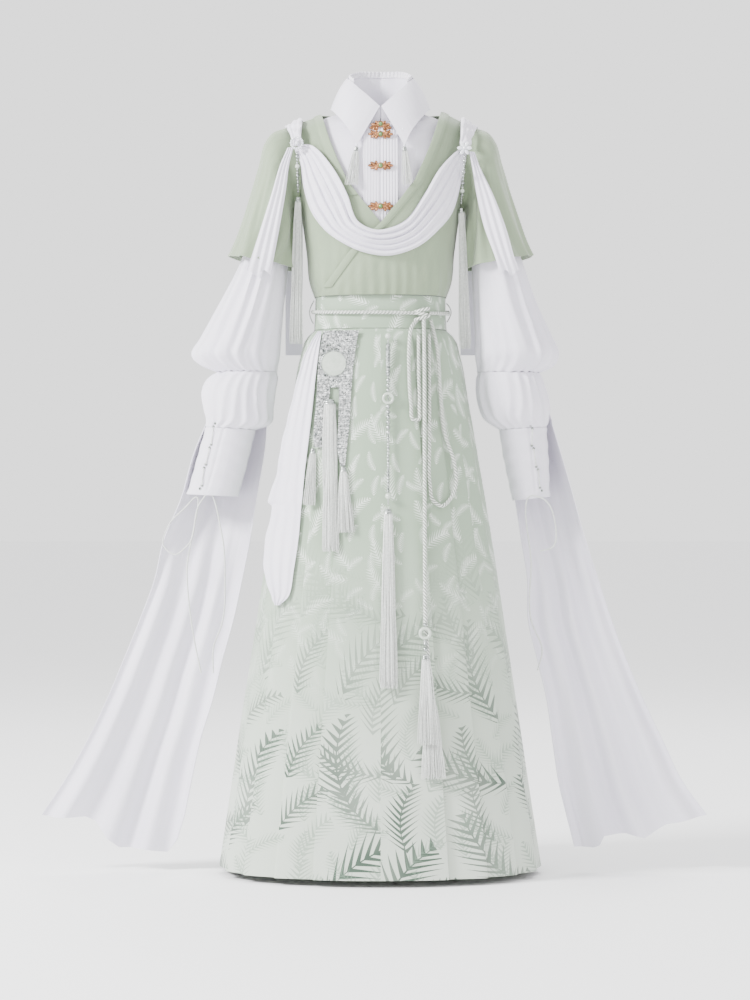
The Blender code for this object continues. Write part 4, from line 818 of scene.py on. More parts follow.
def brocade_look(name, upper, lower):
    """Sage satin with pale woven fronds above and grey-green printed ones toward the hem."""
    graph = Graph(name, roughness=0.6, sheen_weight=0.3, sheen_roughness=0.4)
    down = graph.math("MULTIPLY", graph.parts_of(graph.place((1.0, 1.0, 0.0)))[1], -1.0)
    low = graph.math("DIVIDE", graph.math("SUBTRACT", down, 0.34), 0.42, clamp=True)
    tone = graph.noise(graph.place((5.0, 3.5, 0.0)), detail=4.0)
    ground = graph.mix(low, upper, lower)
    ground = graph.mix(graph.math("MULTIPLY", tone, 0.55), ground, tint(134, 154, 130))
    woven = graph.fronds(15.0, 0.46, 3.1)
    small = graph.fronds(24.0, 0.44, 8.6)
    above = graph.math("SUBTRACT", 0.75, low, clamp=True)
    pale = graph.math("MULTIPLY", graph.math("MAXIMUM", woven, small), above)
    ground = graph.mix(pale, ground, tint(233, 238, 231))
    large = graph.math("MAXIMUM", graph.fronds(6.0, 0.54, 5.4), graph.fronds(8.5, 0.5, 2.2))
    faint = graph.math("MAXIMUM", graph.fronds(10.5, 0.5, 1.7), graph.fronds(14.0, 0.48, 7.9))
    wash = graph.noise(graph.place((7.0, 4.0, 0.0)), detail=3.0)
    printed = graph.math("MULTIPLY", large, low)
    strong = graph.math("MULTIPLY", printed, graph.math("MULTIPLY", wash, 1.7), clamp=True)
    ground = graph.mix(strong, ground, tint(58, 78, 64))
    soft = graph.math("MULTIPLY", graph.math("MULTIPLY", faint, low), 0.55)
    ground = graph.mix(soft, ground, tint(104, 126, 108))
    graph.put(graph.shader, "Base Color", ground)
    satin = graph.math("SUBTRACT", 0.62, graph.math("MULTIPLY", pale, 0.24))
    graph.put(graph.shader, "Roughness", satin)
    first = graph.bump(graph.noise(graph.place((60.0, 6.0, 0.0)), detail=4.0), 1.2 * MM, 0.4)
    second = graph.bump(pale, 0.12 * MM, 0.6, first)
    graph.put(graph.shader, "Normal", graph.bump(graph.weave(0.8 * MM), 0.08 * MM, 0.5, second))
    return graph.look


def thread_look(name, light, shade, pitch=1.6 * MM, groove_shade=0.35):
    """Silky cord: twisted plies as slanting ridges along the cord's own map, with painted shade darkening the
    grooves between them.
    """
    graph = Graph(name, roughness=0.5, sheen_weight=0.35, sheen_roughness=0.35)
    where = graph.parts_of(graph.place((2 * math.pi / pitch, 2 * math.pi / pitch, 0.0)))
    plies = graph.math("SINE", graph.math("ADD", where[0], where[1]))
    tone = graph.noise(graph.place((300.0, 300.0, 300.0), by_object=True), detail=3.0)
    # painted shade: the ply ridges also darken the colour in the grooves, on top of a random tone
    tone_and_groove_shade = graph.math("ADD", graph.math("MULTIPLY", plies, groove_shade), tone, clamp=True)
    graph.put(graph.shader, "Base Color", graph.mix(tone_and_groove_shade, shade, light))
    graph.put(graph.shader, "Normal", graph.bump(plies, 0.12 * MM, 0.6))
    return graph.look


def metal_look(name, light, shade, rough):
    """Metal whose tone and gloss change over small patches, with fine dents: the light and dark patches of
    colour are painted reflections.
    """
    graph = Graph(name, metallic=1.0)
    patch = graph.noise(graph.place((260.0, 260.0, 260.0), by_object=True), detail=5.0, rough=0.6)
    # painted reflections: patches of light and dark colour stand in for what the metal reflects
    painted_reflection = graph.math("MULTIPLY", graph.math("SUBTRACT", patch, 0.36), 3.6, clamp=True)
    graph.put(graph.shader, "Base Color", graph.mix(painted_reflection, shade, light))
    graph.put(graph.shader, "Roughness", graph.math("MULTIPLY_ADD", patch, 0.3))
    graph.shader.inputs["Roughness"].links[0].from_node.inputs[2].default_value = rough - 0.12
    graph.put(graph.shader, "Normal", graph.bump(patch, 0.25 * MM, 0.5))
    return graph.look


def stone_look(name, light, shade, rough=0.18):
    """Polished stone: drifting veins under a clear gloss."""
    graph = Graph(name, roughness=rough, coat_weight=0.5, coat_roughness=0.08, ior=1.6)
    vein = graph.noise(graph.place((70.0, 70.0, 150.0), by_object=True), detail=6.0, rough=0.65)
    graph.put(graph.shader, "Base Color", graph.mix(vein, shade, light))
    graph.put(graph.shader, "Normal", graph.bump(vein, 0.1 * MM, 0.3))
    return graph.look


# Looks: what makes each, its light and its dark colour, or its upper and lower one, and what else it takes.
LOOK_TABLE = {
    "white_chiffon": (cloth_look, tint(238, 235, 244), tint(204, 200, 216), {}),
    "white_lace": (cloth_look, tint(246, 244, 249), tint(214, 211, 224),
                   {"crease": 0.9, "streak": (420.0, 160.0, 0.0)}),
    "sage_chiffon": (cloth_look, tint(146, 161, 133), tint(104, 121, 97), {}),
    "sage_brocade": (brocade_look, tint(152, 170, 148), tint(204, 210, 200), {}),
    # For the cords, the dark colour is partly painted shade in the grooves between the plies.
    "white_cord": (thread_look, tint(238, 239, 236), tint(176, 181, 176), {}),
    "belt_braid": (thread_look, tint(240, 242, 236), tint(106, 118, 104), {"pitch": 6.0 * MM, "groove_shade": 0.55}),
    # For the metals, the dark colour is mostly painted reflection, laid in patches.
    "gold": (metal_look, tint(208, 150, 106), tint(122, 80, 54), {"rough": 0.32}),
    "silver": (metal_look, tint(214, 219, 216), tint(112, 118, 116), {"rough": 0.28}),
    "sequin": (metal_look, tint(248, 250, 249), tint(104, 110, 110), {"rough": 0.2}),
    "pale_jade": (stone_look, tint(214, 219, 209), tint(160, 176, 160), {}),
    "green_bead": (stone_look, tint(104, 150, 74), tint(46, 78, 32), {}),
    # Dark glossy stone for the real beads, also used as painted shade in the eyelets' holes.
    "dark_bead_and_hole_shade": (stone_look, tint(92, 108, 92), tint(38, 46, 40), {}),
    "crystal": (stone_look, tint(248, 249, 252), tint(206, 210, 220), {"rough": 0.06}),
}
LOOKS = {}


def look_of(name):
    """A material by name, made once."""
    if name not in LOOKS:
        maker, light, shade, values = LOOK_TABLE[name]
        LOOKS[name] = maker(name, light, shade, **values)
    return LOOKS[name]


def shoulder_height(x):
    """Height of the shoulder line over x."""
    return SHOULDER_Z - SHOULDER_SLOPE * (np.hypot(x, SHOULDER_BEND) - math.hypot(SHOULDER_X, SHOULDER_BEND))


def torso_base(s, v, back):
    """Point of the robe top's form: s from -1 to 1 across, v from waist 0 to shoulder 1."""
    half = column(TORSO, "half", v, "v")
    depth = column(TORSO, "back" if back else "front", v, "v")
    x = s * half
    y = depth * (1 - np.minimum(np.abs(s), 0.9999) ** ROUND) ** (1 / ROUND)
    z = WAIST_Z + v * (shoulder_height(x) - WAIST_Z)
    return points(x, y if back else -y, z)


def torso(s, v, back=False, out=0.0):
    """The same point moved out along the form's normal, which stays in the seam's plane at a seam."""
    s, v = np.broadcast_arrays(np.asarray(s, float), np.asarray(v, float))
    step = 0.004
    s0, s1 = np.clip(s - step, -1, 1), np.clip(s + step, -1, 1)
    v0, v1 = np.clip(v - step, 0, 1), np.clip(v + step, 0, 1)
    across = torso_base(s1, v, back) - torso_base(s0, v, back)
    rise = torso_base(s, v1, back) - torso_base(s, v0, back)
    normal = unit(np.cross(across, rise))
    place = torso_base(s, v, back)
    outward = np.sum(normal * place * np.array([1.0, 1.0, 0.0]), -1, keepdims=True)
    normal = normal * np.where(outward < 0, -1, 1)
    normal[..., 1] *= np.clip(np.abs(place[..., 1]) / (14 * MM), 0, 1)
    normal = unit(normal)
    moved = place + normal * np.broadcast_to(out, s.shape)[..., None]
    moved[..., 1] = (np.abs(moved[..., 1]) + SEAM / 2) * (1 if back else -1)
    moved[..., 2] = np.maximum(moved[..., 2], WAIST_Z)
    return moved


def share(x, v):
    """Share of the half width at which x lies."""
    return x / column(TORSO, "half", v, "v")


def panel(node, look, s, v, back, out):
    """A panel of the upper body on the torso form, in place of its solid."""
    outer = torso(s, v, back, out)
    inner = torso(s, v, back, np.asarray(out) - CLOTH)
    return cloth(f"{node}_cloth", outer, inner, look, [node])


def blouse_out(v):
    """How far the blouse lies inside the form: close at the waist, freer above."""
    return -(CLOTH + 1.6 * MM) - (BLOUSE_INSET - CLOTH - 1.6 * MM) * np.clip(np.asarray(v) * 5, 0, 1)


def armhole(v, low):
    """Share of the half width where a panel ends: the side seam up to the armpit, then the armhole."""
    return np.interp(0.5 + (np.asarray(v) - low) / (1 - low) * 0.5, ARMHOLE["v"], ARMHOLE["s"])


def back_grid(neck_x, neck_v, low):
    """Shares across and heights of a back panel whose top follows the neck and the shoulders."""
    rows, columns = GRIDS["back"]
    c = np.sin(np.linspace(-math.pi / 2, math.pi / 2, columns))[None, :]
    top = np.ones_like(c)
    for _ in range(4):
        x = np.abs(c) * armhole(top, low) * column(TORSO, "half", top, "v") / MM
        top = np.interp(x, neck_x, neck_v)
    v = np.linspace(0, 1, rows)[:, None]
    return c, np.where(v > low, low + (v - low) * (top - low) / (1 - low), v)


def gathers(s, v, count, seed):
    """Fold heights from 0 to 1 over a panel: ridges across it that wander and fade in and out along it."""
    ridge = 0.5 + 0.5 * np.sin(count * math.pi * s + 1.6 * drift(s, 3 * v, seed))
    return ridge ** 1.5 * (0.65 + 0.35 * drift(2 * s, 2 * v, seed + 1))


def make_blouse():
    """White blouse body: two fronts, the back, the tucked placket and the collar."""
    rows, across = grid_shares("blouse_front")
    knots = [0.0] + NECK_SEAM["v"][:1:-1]
    edge = [SEAM / MM / 2] + NECK_SEAM["x"][:1:-1]
    inner = np.interp(rows, knots, edge) * MM
    inner = np.where(rows <= NECK_SEAM["v"][-1], SEAM / 2, inner)
    t = np.sin(np.linspace(0, math.pi / 2, across.size))[None, :]
    start = share(inner, rows)
    s = start + (armhole(rows, BLOUSE_ARMPIT) - start) * t
    for side, label in ((-1, "left"), (1, "right")):
        soft = 0.9 * MM * gathers(s, rows, 9, 11) * ease((s - 0.25) / 0.2)
        panel(f"blouse_front_{label}", "white_chiffon", side * s, rows, False, blouse_out(rows) - soft)
    c, v = back_grid([0, 45, 65], [0.94, 0.975, 1.0], BLOUSE_ARMPIT)
    panel("blouse_back", "white_chiffon", c * armhole(v, BLOUSE_ARMPIT), v, True, blouse_out(v))
    make_placket()
    make_collar()


def make_placket():
    """Placket on the blouse's front: tucks to both sides of its middle seam."""
    rows, columns = GRIDS["blouse_placket"]
    x = np.linspace(-30 * MM, 30 * MM, columns)[None, :]
    v = np.linspace(*PLACKET, rows)[:, None]
    part = np.mod(np.abs(x) / (5 * MM), 1.0)
    tuck = np.where(part < 0.8, part / 0.8, (1 - part) / 0.2)
    seam = np.exp(-(x / (0.9 * MM)) ** 2)
    out = blouse_out(v) + REST + CLOTH + 0.5 * MM
    outer = torso(share(x, v), v, False, out + 1.3 * MM * tuck - 0.8 * MM * seam)
    cloth("blouse_placket_tucks", outer, torso(share(x, v), v, False, out - CLOTH), "white_chiffon",
          ["blouse_placket"])


def seam_point(angle, lift):
    """Neck seam of the blouse at an angle from the back, lifted."""
    turn = np.abs(angle)
    x = np.interp(turn, NECK_SEAM["angle"], NECK_SEAM["x"]) * MM
    v = np.interp(turn, NECK_SEAM["angle"], NECK_SEAM["v"])
    front = torso(share(x, v), v, False, -BLOUSE_INSET)
    back = torso(share(x, v), v, True, -BLOUSE_INSET)
    place = np.where((turn > 90)[..., None], front, back)
    place[..., 0] *= np.sign(angle)
    place[..., 2] += lift
    return place


def collar_line(part, angle):
    """The collar's fold or edge as places at angles from the back."""
    x, y, z = (column(COLLAR, f"{part}_{axis}", np.abs(angle), "angle") for axis in "xyz")
    return points(np.sign(angle) * x, y, z)


def make_collar():
    """Collar stand round the neck, the pointed fall folded over it, and the gathered trim inside its top."""
    rows, columns = GRIDS["collar_stand"]
    angle = np.linspace(-178, 178, columns)
    fold = collar_line("fold", angle)
    base = seam_point(angle, 0.85 * MM)
    inward = -unit(fold * np.array([1, 1, 0]))
    top = fold + inward * (CLOTH + REST)
    top[:, 2] -= 1.5 * MM
    w = np.linspace(0, 1, rows)[:, None, None]
    outer = (base + inward * MM)[None] * (1 - w) + top[None] * w
    cloth("collar_stand_cloth", outer, outer + inward[None] * CLOTH, "white_chiffon", ["collar_stand"])

    edge = collar_line("edge", angle)
    outward = unit((fold + edge) * np.array([1, 1, 0]))
    w = np.linspace(0, 1, GRIDS["collar_fall"][0])[:, None, None]
    open_front = np.clip((180 - np.abs(angle)) / 40, 0.1, 1)[None, :, None]
    bulge = np.sin(math.pi * w ** 0.7) * 4 * MM * open_front
    topstitch = -0.35 * MM * np.exp(-((w - 0.9) / 0.018) ** 2)
    outer = fold[None] * (1 - w) + edge[None] * w + outward[None] * (bulge + topstitch)
    walled("collar_fall_cloth", outer, np.broadcast_to(outward, outer.shape), "white_chiffon",
           ["collar_fall"])

    rows, columns = GRIDS["collar_trim"]
    angle = np.linspace(-118, 118, columns)
    line = collar_line("fold", angle)
    inward = -unit(line * np.array([1, 1, 0]))
    w = np.linspace(0, 1, rows)[:, None, None]
    wave = np.sin(np.radians(angle) * 46)[None, :, None]
    outer = line[None] + inward[None] * ((4.6 + 1.3 * wave * w) * MM)
    outer = outer + np.array([0, 0, 1]) * ((w * 10.6 - 6) * MM)
    walled("collar_trim", outer, np.broadcast_to(inward, outer.shape), "white_lace", [],
           thickness=1.0 * MM)


def make_robe_top():
    """Sage crossed robe top: under front, over front, back and the two neck bands."""
    rows, across = grid_shares("robe_front")
    quarter = np.linspace(0, math.pi / 2, across.size)[None, :]
    fronts = (("under", UNDER_NECK, -1, 0.5, 0.0, 1.6 * MM), ("over", ROBE_NECK, 1, 0.05, WRAP, 3.0 * MM))
    for label, neck, side, low, wrap, height in fronts:
        start = share(np.interp(rows, neck["v"], neck["x"]) * MM, rows)
        t = np.sin(quarter) ** 1.1
        s = start + (armhole(rows, ROBE_ARMPIT) - start) * t
        lift = wrap * np.clip((1 - s) / 0.25, 0, 1)
        fade = ease((0.34 - rows) / 0.3) * ease((1 - s) / 0.15) * ease((s - start - 0.12) / 0.1)
        lift = lift + height * gathers(s * (1 + 0.5 * rows), rows, 13, 21) * fade
        panel(f"robe_front_{label}", "sage_chiffon", side * s, rows, False, lift)
        make_neck_band(label, neck, side, low, wrap)
    c, v = back_grid([0, 60, 102], [0.93, 0.96, 1.0], ROBE_ARMPIT)
    s = c * armhole(v, ROBE_ARMPIT)
    soft = 1.6 * MM * gathers(s, v, 10, 31) * ease((0.4 - v) / 0.3) * ease((1 - np.abs(s)) / 0.15)
    panel("robe_back", "sage_chiffon", s, v, True, soft)


def make_neck_band(label, neck, side, low, wrap):
    """Folded band along the neck edge of a robe front, from a low height up to the shoulder."""
    rows, columns = GRIDS["neck_band"]
    v = np.linspace(low, 1, rows)[:, None]
    x = np.interp(v, neck["v"], neck["x"]) * MM + np.linspace(0, BAND_WIDTH, columns)[None, :]
    s = share(x, v)
    out = wrap * np.clip((1 - s) / 0.25, 0, 1) + REST
    across = np.linspace(0, 1, columns)[None, :]
    stitch = 0.5 * MM * np.exp(-((across - 0.85) / 0.06) ** 2)
    round_edge = 0.9 * MM * np.sin(math.pi * across) ** 0.5 - stitch
    outer = torso(side * s, v, False, out + CLOTH + round_edge)
    name = f"neck_band_{label}"
    cloth(f"{name}_cloth", outer, torso(side * s, v, False, out), "sage_chiffon", [name])


def arm_loop(side, turn, out, low):
    """Armhole edge as a loop: turn 0 at the shoulder, pi at the armpit, first down the front."""
    v = (1 + low) / 2 + (1 - low) / 2 * np.cos(turn)
    s = armhole(v, low)
    front = torso(side * s, v, False, out)
    back = torso(side * s, v, True, out)
    return np.where((turn <= math.pi)[:, None], front, back)


def tube_rows(table, side, turn):
    """Rings of a sleeve from its table: ends in the front view and half depth."""
    out = points(side * np.array(table["out_x"], float), 0.0, table["out_z"])[:, None] * MM
    into = points(side * np.array(table["in_x"], float), 0.0, table["in_z"])[:, None] * MM
    depth = np.array(table["depth"], float)[:, None] * MM
    ring = (out + into) / 2 + (out - into) / 2 * np.cos(turn)[None, :, None]
    ring[..., 1] -= depth * np.sin(turn)[None, :]
    return ring


def sleeve_folds(turn, t, count, seed):
    """Fold heights round a sleeve, from -0.5 to 0.5: ridges along it whose places wander slowly."""
    wander = 1.7 * np.sin(2 * turn + seed + 2.5 * t) + 1.3 * np.sin(3 * turn - seed * 2 - 3.0 * t)
    ridge = (0.5 + 0.5 * np.cos(count * turn + wander)) ** 1.4
    return (ridge - 0.45) * (0.75 + 0.25 * np.sin(2 * turn + seed * 3 + 4 * t))


def sleeve(node, look, rings, folds):
    """A sleeve tube of cloth in place of its solid: smooth rings with folds along it, its wall inside."""
    outer = refined_rows(rings, len(folds))
    middle = outer.mean(axis=1, keepdims=True)
    normal = grid_normals(outer, True, outer - middle)
    outer = outer + normal * folds[..., None]
    normal = grid_normals(outer, True, outer - middle)
    return cloth(f"{node}_cloth", outer, outer - normal * CLOTH, look, [node], closed=True)


def make_sleeves():
    """Cap sleeves, balloon uppers, gathered puffs and cuffs of both arms."""
    turn = full_turn(GRIDS["cap_sleeve"][1])
    row = turn[None, :]
    tables = (("left", -1, UPPER_LEFT, PUFF_LEFT, CUFF_LEFT, 0.4),
              ("right", 1, UPPER_RIGHT, PUFF_RIGHT, CUFF_RIGHT, 2.3))
    for label, side, upper, puff, cuff, seed in tables:
        t, _ = grid_shares("cap_sleeve")
        start = arm_loop(side, turn, 0.0, ROBE_ARMPIT) + np.array([side * ARM_SEAM, 0, 0])
        rings = np.concatenate([start[None], tube_rows(CAP, side, turn)])
        folds = 8.5 * MM * sleeve_folds(row, t, 9, seed) * ease((t - 0.12) / 0.7)
        folds = folds + 1.6 * MM * sleeve_folds(row, t, 20, seed + 3) * ease((t - 0.1) / 0.4)
        folds = folds + 1.0 * MM * np.exp(-((t - 1) / 0.015) ** 2)
        sleeve(f"cap_sleeve_{label}", "sage_chiffon", rings, folds)

        t, _ = grid_shares("sleeve_upper")
        start = arm_loop(side, turn, -BLOUSE_INSET, BLOUSE_ARMPIT) + np.array([side * 1.5 * ARM_SEAM, 0, 0])
        rings = np.concatenate([start[None], tube_rows(upper, side, turn)])
        folds = 8.0 * MM * sleeve_folds(row, t, 11, seed + 1) * ease((t - 0.3) / 0.3)
        folds = folds * (1 - 0.75 * ease((t - 0.9) / 0.1))
        folds = folds + 2.4 * MM * sleeve_folds(row, t, 23, seed) * ease((t - 0.6) / 0.3)
        sleeve(f"sleeve_upper_{label}", "white_chiffon", rings, folds)

        t, _ = grid_shares("sleeve_puff")
        rings = tube_rows(puff, side, turn) + np.array([0, 0, 0.5 * MM])
        close = ease(t / 0.12) * ease((1 - t) / 0.12)
        folds = 5.0 * MM * sleeve_folds(row, t, 17, seed + 2) * (0.35 + 0.65 * close)
        sleeve(f"sleeve_puff_{label}", "white_chiffon", rings, folds)

        rings = tube_rows(cuff, side, turn) + np.array([0, 0, 0.8 * MM])
        hem = 0.9 * MM * (np.exp(-((t - 0.97) / 0.02) ** 2) + np.exp(-((t - 0.03) / 0.02) ** 2))
        wrinkle = 0.8 * MM * np.sin(26 * t + 2 * np.sin(row + seed)) * np.sin(2 * row + seed)
        slit = -1.8 * MM * np.exp(-((row - 1.35) / 0.05) ** 2) * ease((0.93 - t) / 0.05)
        sleeve(f"cuff_{label}", "white_chiffon", rings, hem + wrinkle + slit)
        make_eyelets(label, side, cuff)


def front_place(px, py, y):
    """Place at a depth that the photograph shows at a pixel."""
    near = 1 + y / CAMERA_DISTANCE
    return np.stack([(px - CENTRE_PX) * PIXEL * near, np.full_like(px, y),
                     CAMERA_Z + (FRAME_PIXELS / 2 - py) * PIXEL * near], axis=1)


def make_eyelets(label, side, cuff):
    """Eyelets of a cuff in slanting pairs, each with a dark disc in its hole as painted shade, with a thread
    from each pair to the next.
    """
    pixels = np.array(EYELETS[label])
    middle = front_place(pixels[:, 0], pixels[:, 1], -0.042)
    apart = np.array([side * 0.9, 0, -1.6]) * PIXEL
    pairs = np.stack([middle - apart, middle + apart], axis=1)
    place = pairs.reshape(-1, 3)
    fall = -place[:, 2]
    out_z, in_z = (-np.array(cuff[key]) * MM for key in ("out_z", "in_z"))
    out = smooth(fall, out_z, cuff["out_x"]) * MM * side
    into = smooth(fall, in_z, cuff["in_x"]) * MM * side
    depth = smooth(fall, out_z, cuff["depth"]) * MM
    cosine = np.clip((place[:, 0] - (out + into) / 2) / ((out - into) / 2), -0.95, 0.95)
    place[:, 1] = -depth * np.sqrt(1 - cosine ** 2) - 1.6 * MM
    pairs = place.reshape(-1, 2, 3)
    parts = Parts()
    parts.copies(hoop(1.9 * MM, 0.55 * MM), place, 1.0)
    # painted shade: a flat dark disc fills each eyelet's hole
    parts.copies(ball(), place, (1.6 * MM, 0.3 * MM, 1.6 * MM), 2)
    lifted = pairs - np.array([0, 1.0 * MM, 0])
    rows = np.linspace(0, 1, 12)[:, None]
    for start, end in zip(lifted[:-1, 1], lifted[1:, 0]):
        rope(parts, start * (1 - rows) + end * rows, 1.0 * MM, (0, -1, 0), 1, 8, 2, 5 * MM)
    looks = [look_of("silver"), look_of("white_cord"), look_of("dark_bead_and_hole_shade")]
    parts.piece(f"cuff_eyelets_{label}", looks, slot="silver")


def make_trailing_sleeves():
    """Long flared sleeves hung from the puffs behind the cuffs, their folds deeper toward a pointed hem."""
    w, k = grid_shares("trailing_sleeve")
    arms = (("left", -1, TRAIL_LEFT, 4 * MM, 22 * MM, 14 * MM, 41),
            ("right", 1, TRAIL_RIGHT, 33 * MM, 0.0, 46 * MM, 43))
    for label, side, table, inner_y, corner, outer_corner, seed in arms:
        name = f"trailing_sleeve_{label}"
        knots = np.linspace(0, 1, len(table["z"]))
        z = smooth(w, knots, table["z"]) * MM
        out_x = smooth(w, knots, table["out_x"]) * MM
        in_x = smooth(w, knots, table["in_x"]) * MM
        u = (1 - np.cos(math.pi * k)) / 2 * (1 - w) + k * w
        x = out_x + (in_x - out_x) * u
        below = ease((-z - 0.60) / 0.25)
        behind = (42 + 12 * np.clip(w * 12, 0, 1)) * MM * (1 - below) + 14 * MM * below
        fold = 9 * MM * below * np.sin(2 * math.pi * 3.5 * u + 1.0) * (0.4 + 0.6 * w)
        edge_y = 4 * MM + (inner_y - 4 * MM) * k * (1 - below)
        y = behind * np.sin(math.pi * k) + fold + edge_y
        z = z + (corner * k ** 3 + outer_corner * (1 - k) ** 3) * (1 - w) ** 6
        x = x - 0.36 * outer_corner * (1 - k) ** 3 * (1 - w) ** 6
        dip = np.interp(u, table["hem_u"], table["hem_dip"]) * MM
        grid = points(side * x, y, z - dip * w ** 3)
        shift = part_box(name)[0][1] - (grid[..., 1].min() - CLOTH * 0.5)
        fine = 3.4 * MM * (gathers(u * 1.6, w, 7, seed) - 0.5) * ease((w - 0.06) / 0.2) * ease(k / 0.06)
        fine = fine * ease((1 - k) / 0.06)
        if label == "right":
            line = 302 * MM + (371 - 302) * MM * np.clip((-z - 1.047) / 0.206, 0, 1)
            fine = fine + 2.6 * MM * ease((line - x) / (5 * MM)) * ease((w - 0.7) / 0.06)
        grid[..., 1] += shift + fine
        walled(f"{name}_cloth", grid, np.array([0.0, 1.0, 0.0]), "white_chiffon", [name])


def skirt_size(key, z):
    """Half width, half depth or pleat step of the skirt at a height."""
    return smooth(-z / MM, -np.asarray(SKIRT["z"], float), SKIRT[key]) * MM


def waist_outline(angle):
    """Outline of a unit waist at an angle from the front centre: share of its half width and half depth."""
    sine, cosine = np.sin(angle), np.cos(angle)
    return np.sign(sine) * np.abs(sine) ** (2 / ROUND), -np.sign(cosine) * np.abs(cosine) ** (2 / ROUND)


def skirt_point(angle, z, out=0.0):
    """Point of the skirt at an angle from the front centre and a height, with its knife pleats."""
    angle = np.mod(angle + math.pi, 2 * math.pi) - math.pi
    pitch = (math.pi - 2 * PANEL_ANGLE) / SIDE_PLEATS
    along = (np.abs(angle) - PANEL_ANGLE) / pitch
    inside = (along > 1e-9) & (along < SIDE_PLEATS - 1e-9)
    pleat = np.where(inside, np.interp(np.mod(along, 1.0), PLEAT_PART, PLEAT_RISE), 0.35)
    rise = skirt_size("step", z) * pleat
    across, front = waist_outline(angle)
    x = (skirt_size("half", z) + rise + out) * across
    y = (skirt_size("depth", z) + rise + out) * front
    return points(x, y, z)


def make_skirt():
    """Waistband and pleated skirt with a flat front panel."""
    turn = full_turn(GRIDS["waistband"][1])[None, :]
    shape_x, shape_y = waist_outline(turn)
    t, _ = grid_shares("waistband")
    rows = WAIST_Z - 0.5 * MM - (BAND_HEIGHT - 0.5 * MM) * t
    half = smooth(t, [0, 0.53, 1], [112.5, 112.8, 114.5]) * MM
    depth = smooth(t, [0, 0.53, 1], [87.5, 87.8, 89.5]) * MM
    stitch = -0.4 * MM * (np.exp(-((t - 0.08) / 0.02) ** 2) + np.exp(-((t - 0.92) / 0.02) ** 2))
    stitch = stitch + 0.5 * MM * np.sin(3 * turn + 1.0) * np.sin(math.pi * t) - 0.5 * MM
    outer = points((half + stitch) * shape_x, (depth + stitch) * shape_y, rows)
    inner = points((half - 2 * MM) * shape_x, (depth - 2 * MM) * shape_y, rows)
    cloth("waistband_cloth", outer, inner, "sage_brocade", ["waistband"], closed=True)

    top, foot = SKIRT["z"][0] * MM, SKIRT["z"][-1] * MM
    down, _ = grid_shares("skirt")
    z = top + (foot - top) * down ** 1.15
    angle = full_turn(GRIDS["skirt"][1])[None, :]
    fall = np.clip((top - z) / (top - foot), 0, 1)
    angle = angle + 0.010 * ease(fall * 3) * np.sin(3 * angle + 7 * fall) * np.abs(np.sin(angle))
    swell = 0.5 + 0.5 * np.sin(9 * angle + 1.5 * np.sin(4 * fall + 2 * angle))
    soft = -1.0 * MM - 1.6 * MM * ease(fall * 2) * swell
    outer = skirt_point(angle, z, soft)
    inner = skirt_point(angle, z, soft - CLOTH)
    cloth("skirt_cloth", outer, inner, "sage_brocade", ["skirt"], closed=True)


def make_drape():
    """White shoulder drape: folded swag on the chest, bands over the shoulders, tails over the arms."""
    w, u = grid_shares("chest_drape")
    up_x, up_z = column(SWAG, "up_x", u, "u"), column(SWAG, "up_z", u, "u")
    low_x, low_z = column(SWAG, "low_x", u, "u"), column(SWAG, "low_z", u, "u")
    x, z = up_x + (low_x - up_x) * w, up_z + (low_z - up_z) * w
    y = resting_depth("chest_drape", x, z) - 1.8 * MM
    hang = np.sin(math.pi * u) ** 0.5
    ridge = np.abs(np.sin(math.pi * 5 * w + 0.5 * np.sin(2.2 * math.pi * u) + 0.3)) ** 0.8
    relief = (0.4 + 6.4 * ridge) * MM * np.maximum(hang, 0.2)
    relief = relief + 0.8 * MM * np.sin(math.pi * 17 * w + 3 * u) * hang
    back = points(x, y, z)
    cloth("chest_drape_cloth", back - points(0, CLOTH + relief, 0), back, "white_chiffon", ["chest_drape"])

    down, across = grid_shares("arm_tail")
    for label, side, table in (("left", -1, TAIL_LEFT), ("right", 1, TAIL_RIGHT)):
        knots = np.linspace(0, 1, len(table["z"]))
        out_x, in_x = smooth(down, knots, table["out_x"]) * MM, smooth(down, knots, table["in_x"]) * MM
        z = smooth(down, knots, table["z"]) * MM + 0 * across
        hem = ease((down - 0.8) / 0.2)
        z = z + 4.5 * MM * hem * np.sin(9.5 * across + 1.0)
        middle, half = (out_x + in_x) / 2, (in_x - out_x) / 2 * (1 + 0.22 * down)
        x = side * (middle + half * (2 * across - 1))
        back = points(x, resting_depth(f"arm_tail_{label}", x, z) - 3.5 * MM, z)
        relief = 2.8 * MM * (0.5 - 0.5 * np.cos(2 * math.pi * 3 * across + 0.8 * np.sin(5 * down)))
        cloth(f"arm_tail_{label}_cloth", back - points(0, CLOTH + relief, 0), back, "white_chiffon",
              [f"arm_tail_{label}"])

    for label, side, middle in (("left", -1, 148), ("right", 1, 152)):
        make_shoulder_band(label, side, middle)


